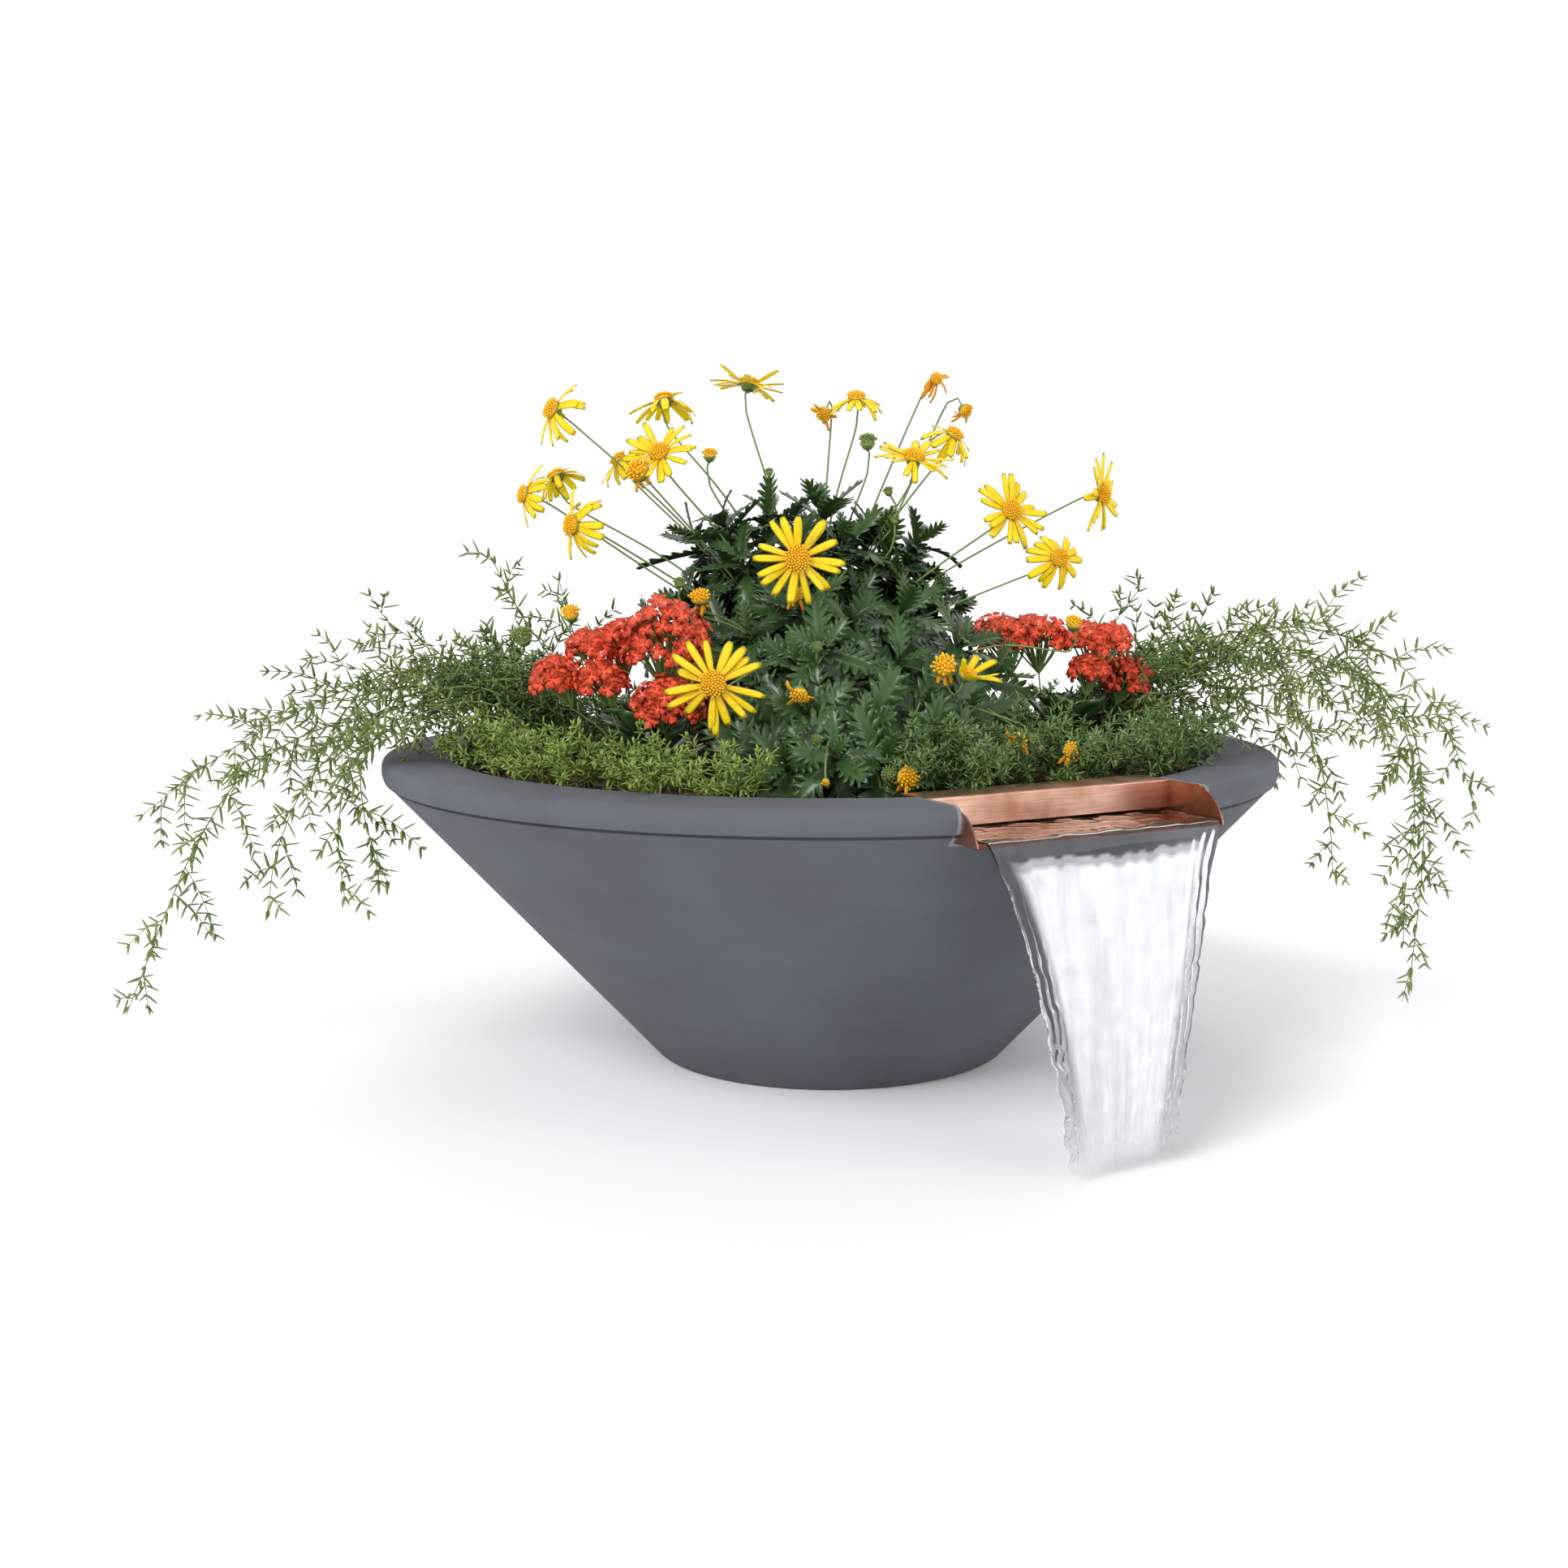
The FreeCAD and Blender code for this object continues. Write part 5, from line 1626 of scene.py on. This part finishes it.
@dataclass
class Studio:
    """A pale floor, broad soft lamps in a white room, and a camera in front."""

    distance: float = 1.9254
    eye_height: float = 0.5287
    down_deg: float = 7.5
    turn_deg: float = -30.0
    lens: float = 42.5
    shift: float = -0.0295
    floor_size: float = 60.0
    ceiling: float = 0.45

    def floor(self) -> None:
        """A wide matt floor under the bowl."""
        clear_selection()
        bpy.ops.mesh.primitive_plane_add(size=self.floor_size, location=(0, 0, -0.0005))
        floor = bpy.context.object
        floor.name = "studio_floor"
        paper = bpy.data.materials.new("matt_white_floor")
        paper.use_nodes = True
        shader = paper.node_tree.nodes["Principled BSDF"]
        shader.inputs["Base Color"].default_value = srgb("#ffffff")
        shader.inputs["Roughness"].default_value = 0.95
        shader.inputs["Specular IOR Level"].default_value = 0.0
        floor.data.materials.append(paper)

    def lamp(self, name: str, x: float, y: float, z: float, softness: float, power: float) -> None:
        """A broad distant lamp towards a layout place in metres, turned to the bowl."""
        light = bpy.data.lights.new(name, "SUN")
        light.angle = math.radians(softness)
        light.energy = power
        lamp = bpy.data.objects.new(name, light)
        c, s = math.cos(LAYOUT_TURN), math.sin(LAYOUT_TURN)
        lamp.location = (x * c - y * s, x * s + y * c, z)
        lamp.rotation_euler = (Vector((0.0, 0.0, 0.3)) - lamp.location).to_track_quat("-Z", "Y").to_euler()
        bpy.context.scene.collection.objects.link(lamp)

    def lights(self) -> None:
        """A room that is white all round and greyer overhead, a key lamp on the left and a fill on the right."""
        world = bpy.data.worlds.new("white_room")
        world.use_nodes = True
        tree = world.node_tree
        way = add_node(tree, "ShaderNodeTexCoord")
        height = add_node(tree, "ShaderNodeSeparateXYZ", sockets={"Vector": way.outputs["Generated"]})
        sky = tree.nodes["Background"]
        sky.inputs[0].default_value = (1.0, 1.0, 1.0, 1.0)
        tree.links.new(ranged(tree, height.outputs["Z"], 0.28, 0.75, 1.02, self.ceiling), sky.inputs[1])
        bpy.context.scene.world = world
        self.lamp("key_lamp", -1.4, -1.9, 2.3, 30.0, 1.9)
        self.lamp("fill_lamp", 2.0, -1.6, 1.6, 50.0, 0.7)
        self.lamp("back_lamp", 0.3, 2.2, 3.0, 40.0, 0.7)

    def camera(self) -> None:
        """The camera, level with the flowers and looking a little down."""
        data = bpy.data.cameras.new("camera")
        data.lens = self.lens
        data.shift_x = self.shift
        camera = bpy.data.objects.new("camera", data)
        turn = math.radians(self.turn_deg)
        camera.location = (math.sin(turn) * self.distance, -math.cos(turn) * self.distance, self.eye_height)
        camera.rotation_euler = (math.radians(90.0 - self.down_deg), 0.0, turn)
        bpy.context.scene.collection.objects.link(camera)
        bpy.context.scene.camera = camera

    def build(self) -> None:
        """Sets up the whole studio."""
        bpy.context.scene.view_settings.view_transform = "Standard"
        self.floor()
        self.lights()
        self.camera()


LEFT_SHOOTS = (
    (
        (-262, -40, 300), (-285, -52, 378), (-346, -60, 388), (-413, -60, 366), (-487, -60, 348), (-545, -60, 327),
        (-604, -60, 284), (-649, -60, 217), (-685, -60, 142), (-712, -60, 78), (-728, -60, 42),
    ),
    (
        (-255, -20, 300), (-300, -20, 380), (-380, -10, 396), (-470, -10, 386), (-560, -20, 348), (-640, -40, 300),
        (-702, -60, 250),
    ),
    ((-260, -80, 300), (-330, -100, 366), (-400, -120, 360), (-462, -130, 318), (-482, -132, 250), (-478, -132, 172)),
    ((-250, -90, 300), (-320, -120, 355), (-385, -140, 352), (-446, -152, 326), (-452, -148, 262), (-432, -140, 190)),
    ((-260, -60, 300), (-340, -80, 380), (-430, -100, 366), (-510, -110, 300), (-548, -112, 226), (-562, -110, 160)),
    ((-250, 0, 300), (-300, 0, 376), (-380, 0, 400), (-450, 0, 438), (-478, 0, 474)),
    ((-245, 40, 300), (-290, 50, 390), (-330, 60, 450), (-361, 60, 510)),
    ((-235, 30, 300), (-262, 50, 390), (-280, 58, 450), (-289, 60, 486)),
    ((-262, -10, 300), (-330, -10, 380), (-420, -15, 392), (-490, -20, 398), (-541, -20, 412)),
    ((-258, -30, 300), (-330, -30, 376), (-430, -35, 380), (-530, -40, 360), (-600, -40, 344)),
    ((-255, 10, 300), (-330, 30, 390), (-430, 60, 390), (-520, 70, 340), (-572, 60, 262)),
)

RIGHT_SHOOTS = (
    (
        (250, -10, 300), (296, -5, 372), (353, 0, 392), (400, -20, 378), (450, -20, 380), (516, -20, 394),
        (566, -20, 380), (602, -20, 333), (616, -20, 266), (618, -20, 180), (612, -20, 93), (610, -20, 56),
    ),
    ((250, -10, 300), (320, 0, 400), (400, 0, 430), (500, -5, 438), (590, -10, 400), (640, -15, 332), (672, -20, 252)),
    (
        (248, -20, 300), (330, -20, 392), (420, -25, 420), (520, -25, 405), (588, -25, 344), (606, -25, 254),
        (600, -25, 176), (600, -25, 112),
    ),
    ((250, -30, 300), (330, -40, 366), (410, -40, 372), (462, -35, 338), (486, -30, 284)),
    ((252, -30, 300), (340, -40, 376), (430, -40, 388), (495, -35, 322), (516, -30, 246), (522, -30, 188)),
    ((240, 10, 300), (276, 30, 380), (300, 40, 440), (327, 40, 478)),
    ((250, 0, 300), (330, 5, 390), (420, 5, 425), (480, 0, 440), (519, 0, 446)),
    ((252, 0, 300), (330, 0, 400), (430, 0, 415), (510, 0, 405), (572, 0, 392)),
    ((248, 20, 300), (320, 40, 400), (400, 60, 420), (470, 60, 380), (520, 50, 320)),
    ((250, -20, 300), (340, -25, 392), (440, -30, 402), (540, -30, 372), (590, -30, 310)),
)


def main() -> None:
    """Builds the bowl's looks piece by piece."""
    logging.basicConfig(level=logging.INFO, format="%(name)s %(message)s")
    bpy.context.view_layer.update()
    Studio().build()
    HardParts(frame["nodes"]).dress()
    patterns = Patterns()
    BarkChips(patterns.chip).build()
    DaisyBush(patterns).build()
    Kalanchoe(
        patterns, "left", -172.0, -178.0,
        (
            (-153, -190, 430, 42, 46), (-150, -205, 372, 34, 34), (-222, -180, 426, 27, 20), (-256, -192, 398, 24, 24),
            (-212, -200, 396, 24, 22), (-196, -176, 434, 24, 20),
        ),
        seed=21,
    ).build()
    Kalanchoe(
        patterns, "right", 236.0, -62.0,
        (
            (172, -62, 430, 34, 24), (206, -56, 432, 32, 24), (268, -66, 428, 36, 20), (298, -62, 388, 24, 26),
            (258, -92, 400, 20, 18),
        ),
        seed=22,
    ).build()
    TrailingFern(
        patterns, "left", LEFT_SHOOTS, (-258.0, -10.0, 300.0), (-470.0, -120.0, 335.0), (-300.0, 130.0, 425.0), 18,
        ("fern_crown_left", "fern_trailing_left", "fern_sprays_left"), seed=31,
    ).build()
    TrailingFern(
        patterns, "right", RIGHT_SHOOTS, (250.0, -5.0, 300.0), (300.0, -110.0, 330.0), (440.0, 110.0, 445.0), 13,
        ("fern_crown_right", "fern_trailing_right", "fern_sprays_right"), seed=32,
    ).build()
    # The front-left sprigs take the lighter, painted lit fern colours, the rest the darker, painted shaded ones.
    for name, inset, half, height, first, last, count, finish, seed in (
        ("fern_front_left", 45.0, 30.0, 64.0, 192.0, 258.0, 64, FERN_PAINTED_LIT, 41),
        ("fern_front_right", 93.0, 38.0, 80.0, 281.0, 324.0, 50, FERN_PAINTED_SHADE, 42),
        ("fern_side_right", 37.0, 30.0, 74.0, 325.0, 350.0, 30, FERN_PAINTED_SHADE, 43),
        ("fern_back_right", 62.0, 58.0, 66.0, 20.0, 84.0, 74, FERN_PAINTED_SHADE, 44),
        ("fern_back_left", 62.0, 58.0, 66.0, 92.0, 160.0, 78, FERN_PAINTED_SHADE, 45),
    ):
        FernCarpet(patterns, name, OPENING_RADIUS - inset, half, height, first, last, count, finish, seed).build()
    tray_low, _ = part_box("spillway_tray")
    WaterSheet(tray_back=TRAY_BACK, lip_out=-tray_low.y / MM, top=WATERLINE).build()


if __name__ == "__main__":
    main()
